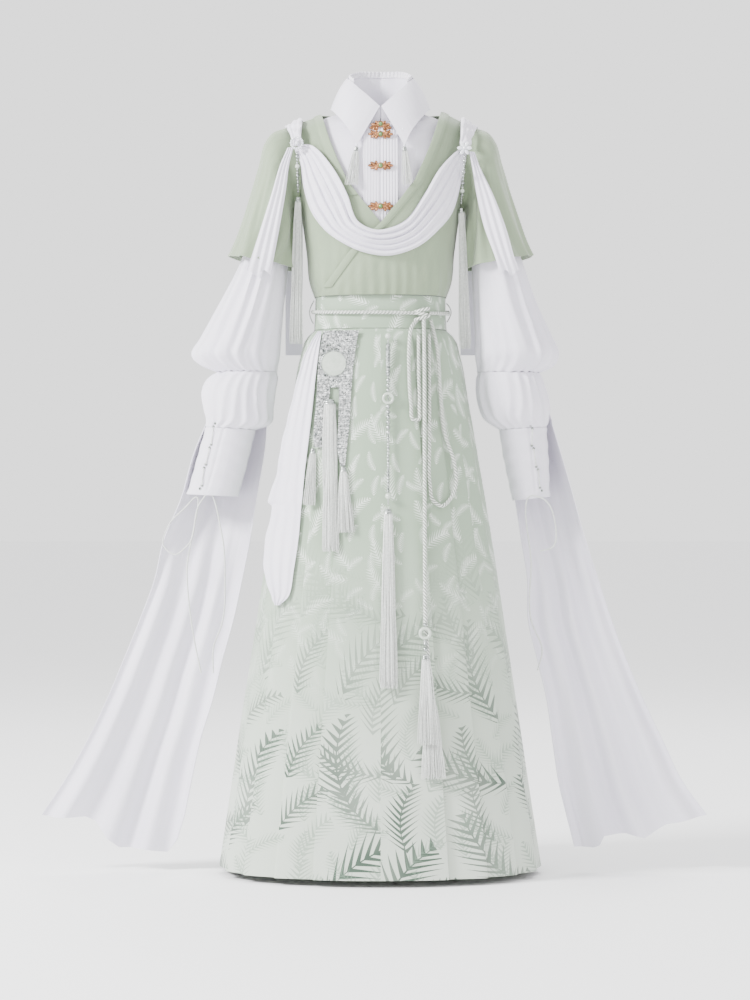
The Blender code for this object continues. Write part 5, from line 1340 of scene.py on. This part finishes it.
def make_shoulder_band(label, side, middle):
    """A band over a shoulder: it follows its solid's underside row by row, ruched, then falls free behind."""
    name = f"shoulder_band_{label}"
    places = node_points(name)
    rows = []
    for y, z, toward_y, toward_z in SHOULDER_OVER:
        start = np.array([y, z]) * MM
        toward = np.array([toward_y, toward_z]) / math.hypot(toward_y, toward_z)
        gap = places[:, 1:] - start
        aside = np.abs(gap[:, 0] * toward[1] - gap[:, 1] * toward[0])
        travel = gap @ toward
        x = side * (middle + np.linspace(-0.5, 0.5, 5) * 32) * MM
        found = [travel[(aside < 0.1 * MM) & (np.abs(places[:, 0] - at) < 0.1 * MM)] for at in x]
        reach = np.array([part.max() if len(part) else np.nan for part in found])
        reach = np.where(np.isnan(reach), np.nanmean(reach), reach)
        rows.append(np.stack([x, start[0] + toward[0] * reach, start[1] + toward[1] * reach], axis=1))
    for z in SHOULDER_FALL:
        rows.append(points(side * (middle + 3 + np.linspace(-0.5, 0.5, 5) * 30) * MM, 84 * MM, z * MM))
    rows = np.array(rows)
    middle_x = side * middle * MM
    narrow = np.array([0.42, 0.6, 0.8, 0.9] + [1.0] * (len(rows) - 4))[:, None]
    ring_x = side * 142 * MM
    near_ring = np.array([1.0, 0.6, 0.2] + [0.0] * (len(rows) - 3))[:, None]
    rows[..., 0] = middle_x + (rows[..., 0] - middle_x) * narrow + (ring_x - middle_x) * near_ring
    along, across = grid_shares("shoulder_band")
    rings = refined_rows(rows, along.size)
    knots = np.linspace(0, 1, 5)
    rest = np.moveaxis(smooth(across[0], knots, np.moveaxis(rings, 1, 0)), 0, 1)
    outward = grid_normals(rest, False, rest - np.array([rest[..., 0].mean(), 0.0, -0.12]))
    over = ease((0.3 - along) / 0.06)
    ruche = 3.6 * MM * (0.5 + 0.5 * np.sin(2 * math.pi * 19 * along + 1.2 * np.sin(6 * across))) ** 1.5 * over
    fold = 1.8 * MM * (0.5 - 0.5 * np.cos(2 * math.pi * 3 * across + 0.7 * np.sin(9 * along)))
    outer = rest + outward * (CLOTH + 0.4 * MM + fold + ruche)[..., None]
    cloth(f"{name}_cloth", outer, rest + outward * 0.4 * MM, "white_chiffon", [name])


def make_hip_ornaments():
    """Side streamer with a ruffled edge, and the sequin panel with its jade disc."""
    down, across = grid_shares("side_streamer")
    knots = np.linspace(0, 1, len(STREAMER["z"]))
    left, right = smooth(down, knots, STREAMER["left"]) * MM, smooth(down, knots, STREAMER["right"]) * MM
    z = smooth(down, knots, STREAMER["z"]) * MM + 0 * across
    begins = ease(down / 0.1)
    ragged = (1.3 * np.sin(29 * down) + 0.5 * np.sin(83 * down + 1)) * MM * (1 - across) ** 3 * begins
    x = left + (right - left) * across + ragged
    y = resting_depth("side_streamer", x, z) - 3.2 * MM
    ruffle = 3.6 * MM * (0.5 + 0.5 * np.sin(38 * down + 2 * np.sin(11 * down))) * (1 - across) ** 2 * begins
    fold = 2.6 * MM * (0.5 + 0.5 * np.sin(2 * math.pi * 3.2 * across + 1.6 * np.sin(6 * down)))
    back = points(x, y - ruffle, z)
    cloth("side_streamer_cloth", back - points(0, CLOTH + fold, 0), back, "white_chiffon", ["side_streamer"])
    make_sequins()
    make_disc()


def make_sequins():
    """Silver panel of two strips, covered with small overlapping discs that tilt a little."""
    knots = np.linspace(0, 1, 8)
    parts = Parts()
    places = []
    for first, second, upper, lower, count in SEQUIN_STRIPS:
        rows = max(3, int(round((lower - upper) * 64)))
        t = np.linspace(upper, lower, rows)[:, None]
        k = np.linspace(0.0, 1.0, count)[None, :]
        low, high = (smooth(t, knots, SEQUIN_PANEL[edge]) * MM for edge in (first, second))
        x = low + (high - low) * k
        z = smooth(t, knots, SEQUIN_PANEL["z"]) * MM + 0 * k
        y = resting_depth("sequin_panel", x, z, 10 * MM) - 1.6 * MM
        grid = points(x, y, z)
        size = rows * count
        row, col = cells(rows, count, False)
        quads = (row * count + col).reshape(-1, 4)
        front = grid - np.array([0, 1.3 * MM, 0])
        border = np.concatenate([np.arange(count), np.arange(1, rows) * count + count - 1,
                                 (rows - 1) * count + np.arange(count - 1)[::-1],
                                 np.arange(1, rows - 1)[::-1] * count])
        rim = np.stack([border, np.roll(border, -1), np.roll(border, -1) + size, border + size], axis=1)
        sheet = np.concatenate([front.reshape(-1, 3), grid.reshape(-1, 3)])
        parts.add(sheet, [quads, quads[:, ::-1] + size, rim])
        middle = (front[:-1, :-1] + front[1:, 1:]) / 2
        places.append(middle.reshape(-1, 3))
    places = np.concatenate(places) - np.array([0, 0.9 * MM, 0])
    rng = np.random.default_rng(5)
    tilt = rng.uniform(-0.32, 0.32, (2, len(places)))
    disc = turned_form([(0.0, 1.0), (0.25, 1.0), (0.32, 0.55)], 8)
    turns = turn_matrices(tilt[0] + 0.16, tilt[1], rng.uniform(0, 1, len(places)))
    parts.copies(disc, places, np.array([2.4, 1.0, 2.4]) * MM, 0, turns)
    parts.piece("sequin_panel_discs", [look_of("sequin")], ["sequin_panel"], "silver", 30.0)


def box_middle(name):
    """Middle of a solid's box, and its box."""
    low, high = (np.array(corner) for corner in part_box(name))
    return (low + high) / 2, low, high


def make_disc():
    """Pale jade disc with a low turned face in a beaded silver rim."""
    middle, low, high = box_middle("jade_disc")
    back = high[1] - 1.6 * MM
    radius = (high[0] - low[0]) / 2 - 1.2 * MM
    profile = np.array(DISC_PROFILE) * np.array([MM, radius])
    centre = np.array([[middle[0], back, middle[2]]])
    parts = Parts()
    parts.copies(turned_form(profile, 64), centre, 1.0)
    parts.copies(hoop(radius, 1.2 * MM, 64, 10), centre - np.array([0, 2.0 * MM, 0]), 1.0, 1)
    turn = full_turn(44)
    beads = centre + points(radius * np.cos(turn), -3.2 * MM, radius * np.sin(turn))
    parts.copies(ball(5, 6), beads, 1.0 * MM, 1)
    looks = [look_of("pale_jade"), look_of("silver")]
    parts.piece("jade_disc_carved", looks, ["jade_disc"], "pale_jade", 40.0)


def add_tassel(parts, name, flat, forward, seed):
    """Add a tassel in its solid's place: a wrapped head and tapered strands that spread to its foot."""
    head, spread, stem, strands = TASSELS[name]
    top, foot = ends(name)
    top[1] -= forward
    foot[1] -= forward
    length = np.linalg.norm(foot - top)
    down = (foot - top) / length
    side = unit(np.array([1.0, 0, 0]) - down * down[0])
    front = np.cross(down, side)
    start = top + down * stem * MM
    head = head * MM
    cap = np.array(TASSEL_CAP)
    radius = cap[:, 1:, None] * head
    turn = full_turn(CAP_SIDES)[None, :, None]
    ring = start + down * (cap[:, :1, None] * MM) + side * (radius * np.cos(turn))
    ring = ring + front * (radius * max(flat, 0.6) * np.sin(turn))
    parts.add(ring, tube_faces(len(cap), CAP_SIDES), 1)

    rng = np.random.default_rng(seed)
    reach = np.sqrt(rng.uniform(0.02, 1, strands))
    turn = rng.uniform(0, 2 * math.pi, strands)
    a, b = reach * np.cos(turn) * head, reach * np.sin(turn) * head * flat
    t = np.linspace(0, 1, STRAND_ROWS)[None, :]
    fall = (length - (stem + 8.5) * MM) * (1 - 0.07 * rng.uniform(0, 1, (strands, 1)) ** 2)
    open_out = 1 + (spread - 1) * t ** 0.75
    sway = rng.uniform(-1, 1, (2, strands, 1)) * head * 0.22
    wide = a[:, None] * open_out + sway[0] * np.sin(math.pi * t * 1.7)
    thick = b[:, None] * (1 + (spread * 0.6 - 1) * t) + sway[1] * flat * t
    line = start + down * (8.2 * MM + fall * t)[..., None] + side * wide[..., None] + front * thick[..., None]
    size = (0.95 - 0.35 * t) * np.clip(head / (5 * MM), 0.7, 1.3) * 0.62 * MM
    corner = full_turn(STRAND_SIDES)[:, None]
    grid = line[:, :, None] + size[..., None, None] * (side * np.cos(corner) + front * np.sin(corner))
    step = np.arange(strands)[:, None, None] * STRAND_ROWS * STRAND_SIDES
    faces = [(group[None] + step).reshape(-1, 4) for group in tube_faces(STRAND_ROWS, STRAND_SIDES)]
    parts.add(grid, faces)
    return top


def make_tassels():
    """The hanging tassels that lie against the garment, and the bead chains above three of them."""
    for number, name in enumerate(name for name in TASSELS if not name.startswith("belt")):
        parts = Parts()
        add_tassel(parts, name, 0.4, 2.2 * MM, 60 + number)
        parts.piece(f"{name}_threads", [look_of("white_cord"), look_of("silver")], [name], "white_cord")
    for name, green in (("shoulder_chain_left", 4), ("shoulder_chain_right", 9)):
        top, foot = ends(name, 0.04)
        count = 13
        t = (np.arange(count) + 0.5)[:, None] / count
        centres = top + (foot - top) * t - np.array([0, 1.5 * MM, 0])
        parts = Parts()
        large = np.arange(count) % 3 == 1
        size = np.where(large, 3.4, 2.3)[:, None] * MM * np.ones(3)
        parts.copies(ball(), centres[np.arange(count) != green], size[np.arange(count) != green])
        parts.copies(ball(8, 12), centres[green:green + 1], 4.2 * MM, 1)
        wire = top + (foot - top) * np.linspace(0, 1, 40)[:, None] - np.array([0, 1.5 * MM, 0])
        rope(parts, wire, 0.8 * MM, (0, -1, 0), 0, 6, 2, 4 * MM)
        parts.piece(f"{name}_beads", [look_of("silver"), look_of("pale_jade")], [name], "silver")
    make_centre_chain()


def make_centre_chain():
    """Long centre chain: a bead, a twisted stretch, a jade ring, more beads and one above the tassel."""
    top, foot = ends("centre_chain", 0.01)
    forward = np.array([0, 3.6 * MM, 0])

    def at(share_down):
        """Places at shares of the way down."""
        return top + (foot - top) * np.asarray(share_down, float).reshape(-1, 1) - forward

    parts = Parts()
    rope(parts, at(np.linspace(0, 1, 240)), 1.2 * MM, (0, -1, 0), 0, 8, 2, 5 * MM)
    rope(parts, at(np.linspace(0.06, 0.25, 80)), 4.2 * MM, (0, -1, 0), 0, 16, 3, 14 * MM, 0.5)
    parts.copies(ball(8, 12), at([0.015, 0.95]), 5.4 * MM, 1)
    parts.copies(ball(), at([0.275, 0.305, 0.335, 0.43, 0.46, 0.49, 0.52, 0.55, 0.58]), 4.1 * MM)
    parts.copies(ball(), at(np.linspace(0.61, 0.92, 18)), 2.9 * MM)
    parts.copies(hoop(8.0 * MM, 2.4 * MM, 32, 10), at([0.38]) - np.array([0, 1.5 * MM, 0]), 1.0, 1)
    parts.piece("centre_chain_beads", [look_of("silver"), look_of("pale_jade")], ["centre_chain"], "silver")


def make_clasps():
    """Flower clasps down the placket."""
    for number in range(4):
        name = f"clasp_{number + 1}"
        middle, low, high = box_middle(name)
        half = (high[0] - low[0]) / 2
        drop = 0.38 if number == 0 else 0.0
        top = high[2] - 8 * MM if number == 0 else middle[2]
        across, rise, lean, long, wide = (np.array(values) for values in CLASP_PETALS.values())
        across, rise = across * half, rise * MM
        parts = Parts()
        for side in (-1, 1):
            centres = points(side * across, high[1] - 2.2 * MM, top + rise - drop * across)
            turns = turn_matrices(0.0, 0.0, -side * (lean - np.arctan(drop)))
            sizes = np.stack([long, np.full(len(long), 1.5), wide], axis=1) * MM
            parts.copies(ball(8, 14), centres, sizes, 0, turns)
            rims = np.stack([long * 1.08, np.full(len(long), 1.0), wide * 1.15], axis=1)
            parts.copies(hoop(1.0, 0.13, 24, 6), centres - np.array([0, 0.5 * MM, 0]),
                         rims * MM * np.array([1.0, 6.0, 1.0]), 0, turns)
        centre = np.array([[0.0, high[1] - 2.6 * MM, top]])
        parts.copies(hoop(4.4 * MM, 1.1 * MM, 28, 8), centre, 1.0)
        parts.copies(ball(10, 16), centre - np.array([0, 1.6 * MM, 0]), 3.6 * MM, 1)
        parts.piece(f"{name}_flower", [look_of("gold"), look_of("green_bead")], [name], "gold")


def make_rings():
    """Ring of small stones on the left shoulder and a flower of larger ones on the right."""
    for label, petals in (("left", 16), ("right", 6)):
        name = f"shoulder_ring_{label}"
        middle, _, high = box_middle(name)
        centre = np.array([[middle[0], high[1] - 3.0 * MM, middle[2]]])
        turn = full_turn(petals)
        reach = 9.6 * MM if label == "left" else 7.4 * MM
        size = np.array([2.1, 2.1, 2.1] if label == "left" else [5.2, 2.0, 3.2]) * MM
        parts = Parts()
        parts.copies(hoop(reach, 1.5 * MM, 40, 8), centre + np.array([0, 0.6 * MM, 0]), 1.0)
        placed = centre + points(reach * np.cos(turn), -1.6 * MM, reach * np.sin(turn))
        parts.copies(ball(7, 10), placed, size, 1, turn_matrices(0.0, 0.0, -turn))
        parts.copies(ball(8, 12), centre - np.array([0, 2.0 * MM, 0]), 3.4 * MM, 1)
        parts.piece(f"{name}_crystals", [look_of("silver"), look_of("crystal")], [name], "silver", 30.0)


def make_pin():
    """Crystals at the collar's tips, over its tassels."""
    parts = Parts()
    for name in ("collar_tassel_left", "collar_tassel_right"):
        top, _ = ends(name)
        parts.copies(ball(), top[None] - np.array([0, 2 * MM, -2 * MM]), 2.6 * MM)
    pin = np.array([[38.0 * MM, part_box("collar_fall")[0][1] + 14 * MM, -33.0 * MM]])
    cross = points(np.array([-4, 0, 4, 0, 0]), 0, np.array([0, 0, 0, 4, -4])) * MM
    parts.copies(ball(7, 10), pin + cross, 2.3 * MM)
    parts.piece("collar_pin", [look_of("crystal")], slot="silver")


def skirt_front(x, z, out):
    """The skirt's outermost depth over a place in the front view, moved out."""
    swell = 0.5 * skirt_size("step", z) + out
    half = skirt_size("half", z) + swell
    depth = skirt_size("depth", z) + swell
    return -depth * (1 - np.abs(x / half) ** ROUND) ** (1 / ROUND)


def settled(name, path, radius, forward=0.0):
    """A route moved in depth to where its solid lies."""
    path = path.copy()
    path[:, 1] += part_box(name)[0][1] + radius - path[:, 1].min() - forward
    return path


def make_cords():
    """Belt cord, knot, bow and ends with what they carry, the belt loops and the cuffs' laces."""
    belt, belt_piece = make_belt()
    made = make_belt_ends()
    knot_piece = make_knot(belt)
    pieces = make_belt_trims()
    make_threads()


def make_belt():
    """Cord round the waistband, open where the knot ties it: its route and its piece."""
    out = CORD / 2 + REST
    turn = np.linspace(BELT_START, BELT_START + 2 * math.pi - 2 * BELT_OPEN, 320) + BELT_OPEN
    sine, cosine = np.sin(turn), np.cos(turn)
    across, front = waist_outline(turn)
    z = -334 * MM - 6 * MM * cosine - 3 * MM * np.maximum(sine, 0) * (cosine > 0)
    belt = points((113 * MM + out) * across, (88 * MM + out) * front, z)
    parts = Parts()
    rope(parts, belt, CORD / 2, (0, 0, 1))
    return belt, parts.piece("belt_cord_twisted", [look_of("belt_braid")], ["belt_cord"], "white_cord")


def make_belt_ends():
    """Loops of the bow and the free ends: piece and route of each by its name."""
    made = {}
    for name, stations in BELT_ROUTES.items():
        route = []
        for station_x, station_z, layer in stations:
            rise = CORD / 2 + 1.2 * MM + layer * (CORD + 0.6 * MM)
            depth = skirt_front(station_x * MM, (station_z - 14) * MM, rise)
            route.append((station_x * MM, float(depth), station_z * MM))
        path = settled(name, route_through(route, 2 * MM), CORD / 2, 1.0 * MM)
        parts = Parts()
        rope(parts, path, CORD / 2, (0, -1, 0))
        made[name] = (parts.piece(f"{name}_twisted", [look_of("belt_braid")], [name], "white_cord"), path)
    return made


def make_knot(belt):
    """Knot of three wraps of cord in front of the belt's two ends."""
    knot = Parts()
    middle = np.array([70 * MM, (belt[0, 1] + belt[-1, 1]) / 2 - 3 * MM, -341 * MM])
    sweep = np.linspace(0, 2 * math.pi, 60)
    for shift_z, tilt in ((5.0, 0.25), (-1.5, -0.2), (-8.0, 0.3)):
        wrap = middle + points(11 * MM * np.cos(sweep), -7 * MM * np.sin(sweep) - 1 * MM,
                               shift_z * MM + 11 * MM * tilt * np.cos(sweep))
        rope(knot, wrap, CORD / 2, (0, 0, 1))
    return knot.piece("belt_knot", [look_of("belt_braid")], slot="white_cord")


def make_belt_trims():
    """Jade ring and tassels at the belt's free ends with their beads: the pieces that each end carries."""
    middle, _, high = box_middle("belt_jade")
    parts = Parts()
    centre = np.array([[middle[0], high[1] - 3.4 * MM, middle[2]]])
    parts.copies(hoop(8.2 * MM, 2.7 * MM, 40, 12), centre, 1.0)
    beads = np.array([[0, 0, 14.0], [0, 0, -13.5], [0.5, 0, -19.0]]) * MM + centre
    parts.copies(ball(8, 12), beads, np.array([[3.6], [3.0], [3.0]]) * MM * np.ones(3), 1)
    looks = [look_of("pale_jade"), look_of("silver")]
    jade = parts.piece("belt_jade_ring", looks, ["belt_jade"], "pale_jade")
    strung = []
    trims = (("belt_tassel_long", (4, 13, 23), "dark_bead_and_hole_shade"), ("belt_tassel_short", (5, 14), "silver"))
    for number, (name, beads_down, look) in enumerate(trims):
        parts = Parts()
        top = add_tassel(parts, name, 0.3, 2.0 * MM, 80 + number)
        parts.piece(f"{name}_threads", [look_of("white_cord"), look_of("silver")], [name], "white_cord")
        parts = Parts()
        parts.copies(ball(8, 12), top + np.array([[0, 0, -down * MM] for down in beads_down]), 4.0 * MM)
        strung.append(parts.piece(f"{name}_beads", [look_of(look)], slot="silver"))
    return {"belt_end_short": [jade], "belt_end_long": [strung[0]]}


def make_threads():
    """Thread loops that hold the belt, and the laces that hang from the cuffs."""
    thread = look_of("white_cord")
    for name, stations in (("belt_loop_left", LOOP_LEFT), ("belt_loop_right", LOOP_RIGHT)):
        parts = Parts()
        path = route_through(np.array(stations, float) * MM, 1 * MM)
        rope(parts, path, LOOP_THREAD / 2, (0, -1, 0), 0, 8, 2, 5 * MM)
        parts.piece(f"{name}_thread", [thread], [name], "white_cord")
    for name, stations in LACES.items():
        parts = Parts()
        path = settled(name, route_through(np.array(stations, float) * MM, 1.6 * MM), LACE / 2)
        rope(parts, path, LACE / 2, (0, -1, 0), 0, 8, 2, 7 * MM)
        piece = parts.piece(f"{name}_thread", [thread], [name], "white_cord")


def make_stage(floor_colour):
    """Camera at the photograph's view, a wide pale floor and soft studio light."""
    scene = bpy.context.scene
    camera = bpy.data.objects.new("camera", bpy.data.cameras.new("camera"))
    camera.data.sensor_fit = "VERTICAL"
    camera.data.sensor_height = SENSOR
    camera.data.lens = SENSOR * CAMERA_DISTANCE / (FRAME_PIXELS * PIXEL)
    camera.data.clip_end = 60
    camera.location = ((FRAME_MIDDLE - CENTRE_PX) * PIXEL, -CAMERA_DISTANCE, CAMERA_Z)
    camera.rotation_euler = (math.pi / 2, 0, 0)
    scene.collection.objects.link(camera)
    scene.camera = camera

    reach = np.linspace(-FLOOR_REACH, FLOOR_REACH, FLOOR_CORNERS)
    grid = points(reach[None, :], reach[:, None], CAD_BOX[0][2] - FLOOR_DROP)
    row, col = cells(FLOOR_CORNERS, FLOOR_CORNERS, False)
    mesh = bpy.data.meshes.new("floor")
    mesh.from_pydata(grid.reshape(-1, 3).tolist(), [], (row * FLOOR_CORNERS + col).reshape(-1, 4).tolist())
    graph = Graph("studio_floor", roughness=0.9)
    tone = graph.noise(graph.place((3.0, 3.0, 3.0), by_object=True), detail=2.0)
    darker = tuple(part * 0.985 for part in floor_colour[:3])
    graph.put(graph.shader, "Base Color", graph.mix(tone, (*darker, 1.0), (*floor_colour[:3], 1.0)))
    mesh.materials.append(graph.look)
    floor = bpy.data.objects.new("floor", mesh)
    scene.collection.objects.link(floor)

    world = bpy.data.worlds.new("studio")
    world.use_nodes = True
    world.node_tree.nodes["Background"].inputs[0].default_value = (1, 1, 1, 1)
    world.node_tree.nodes["Background"].inputs[1].default_value = WORLD_LIGHT
    scene.world = world
    for name, (place, size, power) in LAMPS.items():
        data = bpy.data.lights.new(name, "AREA")
        data.size = size
        data.energy = power
        lamp = bpy.data.objects.new(name, data)
        lamp.location = place
        aim = np.array(LAMP_AIM) - np.array(place)
        lamp.rotation_euler = (math.acos(-aim[2] / np.linalg.norm(aim)), 0, math.atan2(-aim[0], aim[1]))
        scene.collection.objects.link(lamp)


class OutfitSettings(bpy.types.PropertyGroup):
    """Colours that the studio takes from the sidebar."""

    floor_colour: bpy.props.FloatVectorProperty(
        name="Floor colour", description="Colour of the pale studio floor", subtype="COLOR", size=4,
        default=(0.95, 0.95, 0.955, 1.0), min=0.0, max=1.0)


class OUTFIT_OT_stage(bpy.types.Operator):
    """Set up the camera, the floor and the light"""
    bl_idname = "outfit.stage"
    bl_label = "Stage"

    def execute(self, context):
        make_stage(tuple(context.scene.outfit_settings.floor_colour))
        return {"FINISHED"}


class OUTFIT_OT_cords(bpy.types.Operator):
    """Make the belt cord, its bow and ends, and the laces of the cuffs"""
    bl_idname = "outfit.cords"
    bl_label = "Cords"

    def execute(self, context):
        make_cords()
        return {"FINISHED"}


class OUTFIT_OT_blouse(bpy.types.Operator):
    """Make the white blouse with its placket and collar"""
    bl_idname = "outfit.blouse"
    bl_label = "Blouse"

    def execute(self, context):
        make_blouse()
        return {"FINISHED"}


class OUTFIT_OT_robe_top(bpy.types.Operator):
    """Make the sage crossed robe top and its neck bands"""
    bl_idname = "outfit.robe_top"
    bl_label = "Robe top"

    def execute(self, context):
        make_robe_top()
        return {"FINISHED"}


class OUTFIT_OT_sleeves(bpy.types.Operator):
    """Make the cap sleeves, the balloon sleeves, their cuffs and the trailing sleeves"""
    bl_idname = "outfit.sleeves"
    bl_label = "Sleeves"

    def execute(self, context):
        make_sleeves()
        make_trailing_sleeves()
        return {"FINISHED"}


class OUTFIT_OT_skirt(bpy.types.Operator):
    """Make the waistband and the pleated skirt"""
    bl_idname = "outfit.skirt"
    bl_label = "Skirt"

    def execute(self, context):
        make_skirt()
        return {"FINISHED"}


class OUTFIT_OT_drape(bpy.types.Operator):
    """Make the white shoulder drape"""
    bl_idname = "outfit.drape"
    bl_label = "Drape"

    def execute(self, context):
        make_drape()
        return {"FINISHED"}


class OUTFIT_OT_hip_ornaments(bpy.types.Operator):
    """Make the side streamer, the sequin panel and the jade disc"""
    bl_idname = "outfit.hip_ornaments"
    bl_label = "Hip ornaments"

    def execute(self, context):
        make_hip_ornaments()
        return {"FINISHED"}


class OUTFIT_OT_trims(bpy.types.Operator):
    """Make the tassels, bead chains, clasps, rings and pin"""
    bl_idname = "outfit.trims"
    bl_label = "Trims"

    def execute(self, context):
        make_tassels()
        make_clasps()
        make_rings()
        make_pin()
        return {"FINISHED"}


OPERATORS = (
    OUTFIT_OT_stage, OUTFIT_OT_cords, OUTFIT_OT_blouse, OUTFIT_OT_robe_top, OUTFIT_OT_sleeves,
    OUTFIT_OT_skirt, OUTFIT_OT_drape, OUTFIT_OT_hip_ornaments, OUTFIT_OT_trims,
)


class OUTFIT_PT_panel(bpy.types.Panel):
    """Lists the outfit's steps in the sidebar"""
    bl_idname = "OUTFIT_PT_panel"
    bl_label = "Layered hanfu outfit"
    bl_space_type = "VIEW_3D"
    bl_region_type = "UI"
    bl_category = "Outfit"

    def draw(self, context):
        self.layout.prop(context.scene.outfit_settings, "floor_colour")
        for operator in OPERATORS:
            self.layout.operator(operator.bl_idname)


def register():
    """Register the settings, the operators and the panel."""
    bpy.utils.register_class(OutfitSettings)
    for made in (*OPERATORS, OUTFIT_PT_panel):
        bpy.utils.register_class(made)
    bpy.types.Scene.outfit_settings = bpy.props.PointerProperty(type=OutfitSettings)


def unregister():
    """Take everything off again."""
    del bpy.types.Scene.outfit_settings
    for made in (OUTFIT_PT_panel, *reversed(OPERATORS)):
        bpy.utils.unregister_class(made)
    bpy.utils.unregister_class(OutfitSettings)


def main():
    """Register the outfit's steps and build the whole outfit."""
    register()
    bpy.ops.outfit.stage()
    bpy.ops.outfit.cords()
    bpy.ops.outfit.blouse()
    bpy.ops.outfit.robe_top()
    bpy.ops.outfit.sleeves()
    bpy.ops.outfit.skirt()
    bpy.ops.outfit.drape()
    bpy.ops.outfit.hip_ornaments()
    bpy.ops.outfit.trims()


if __name__ == "__main__":
    main()
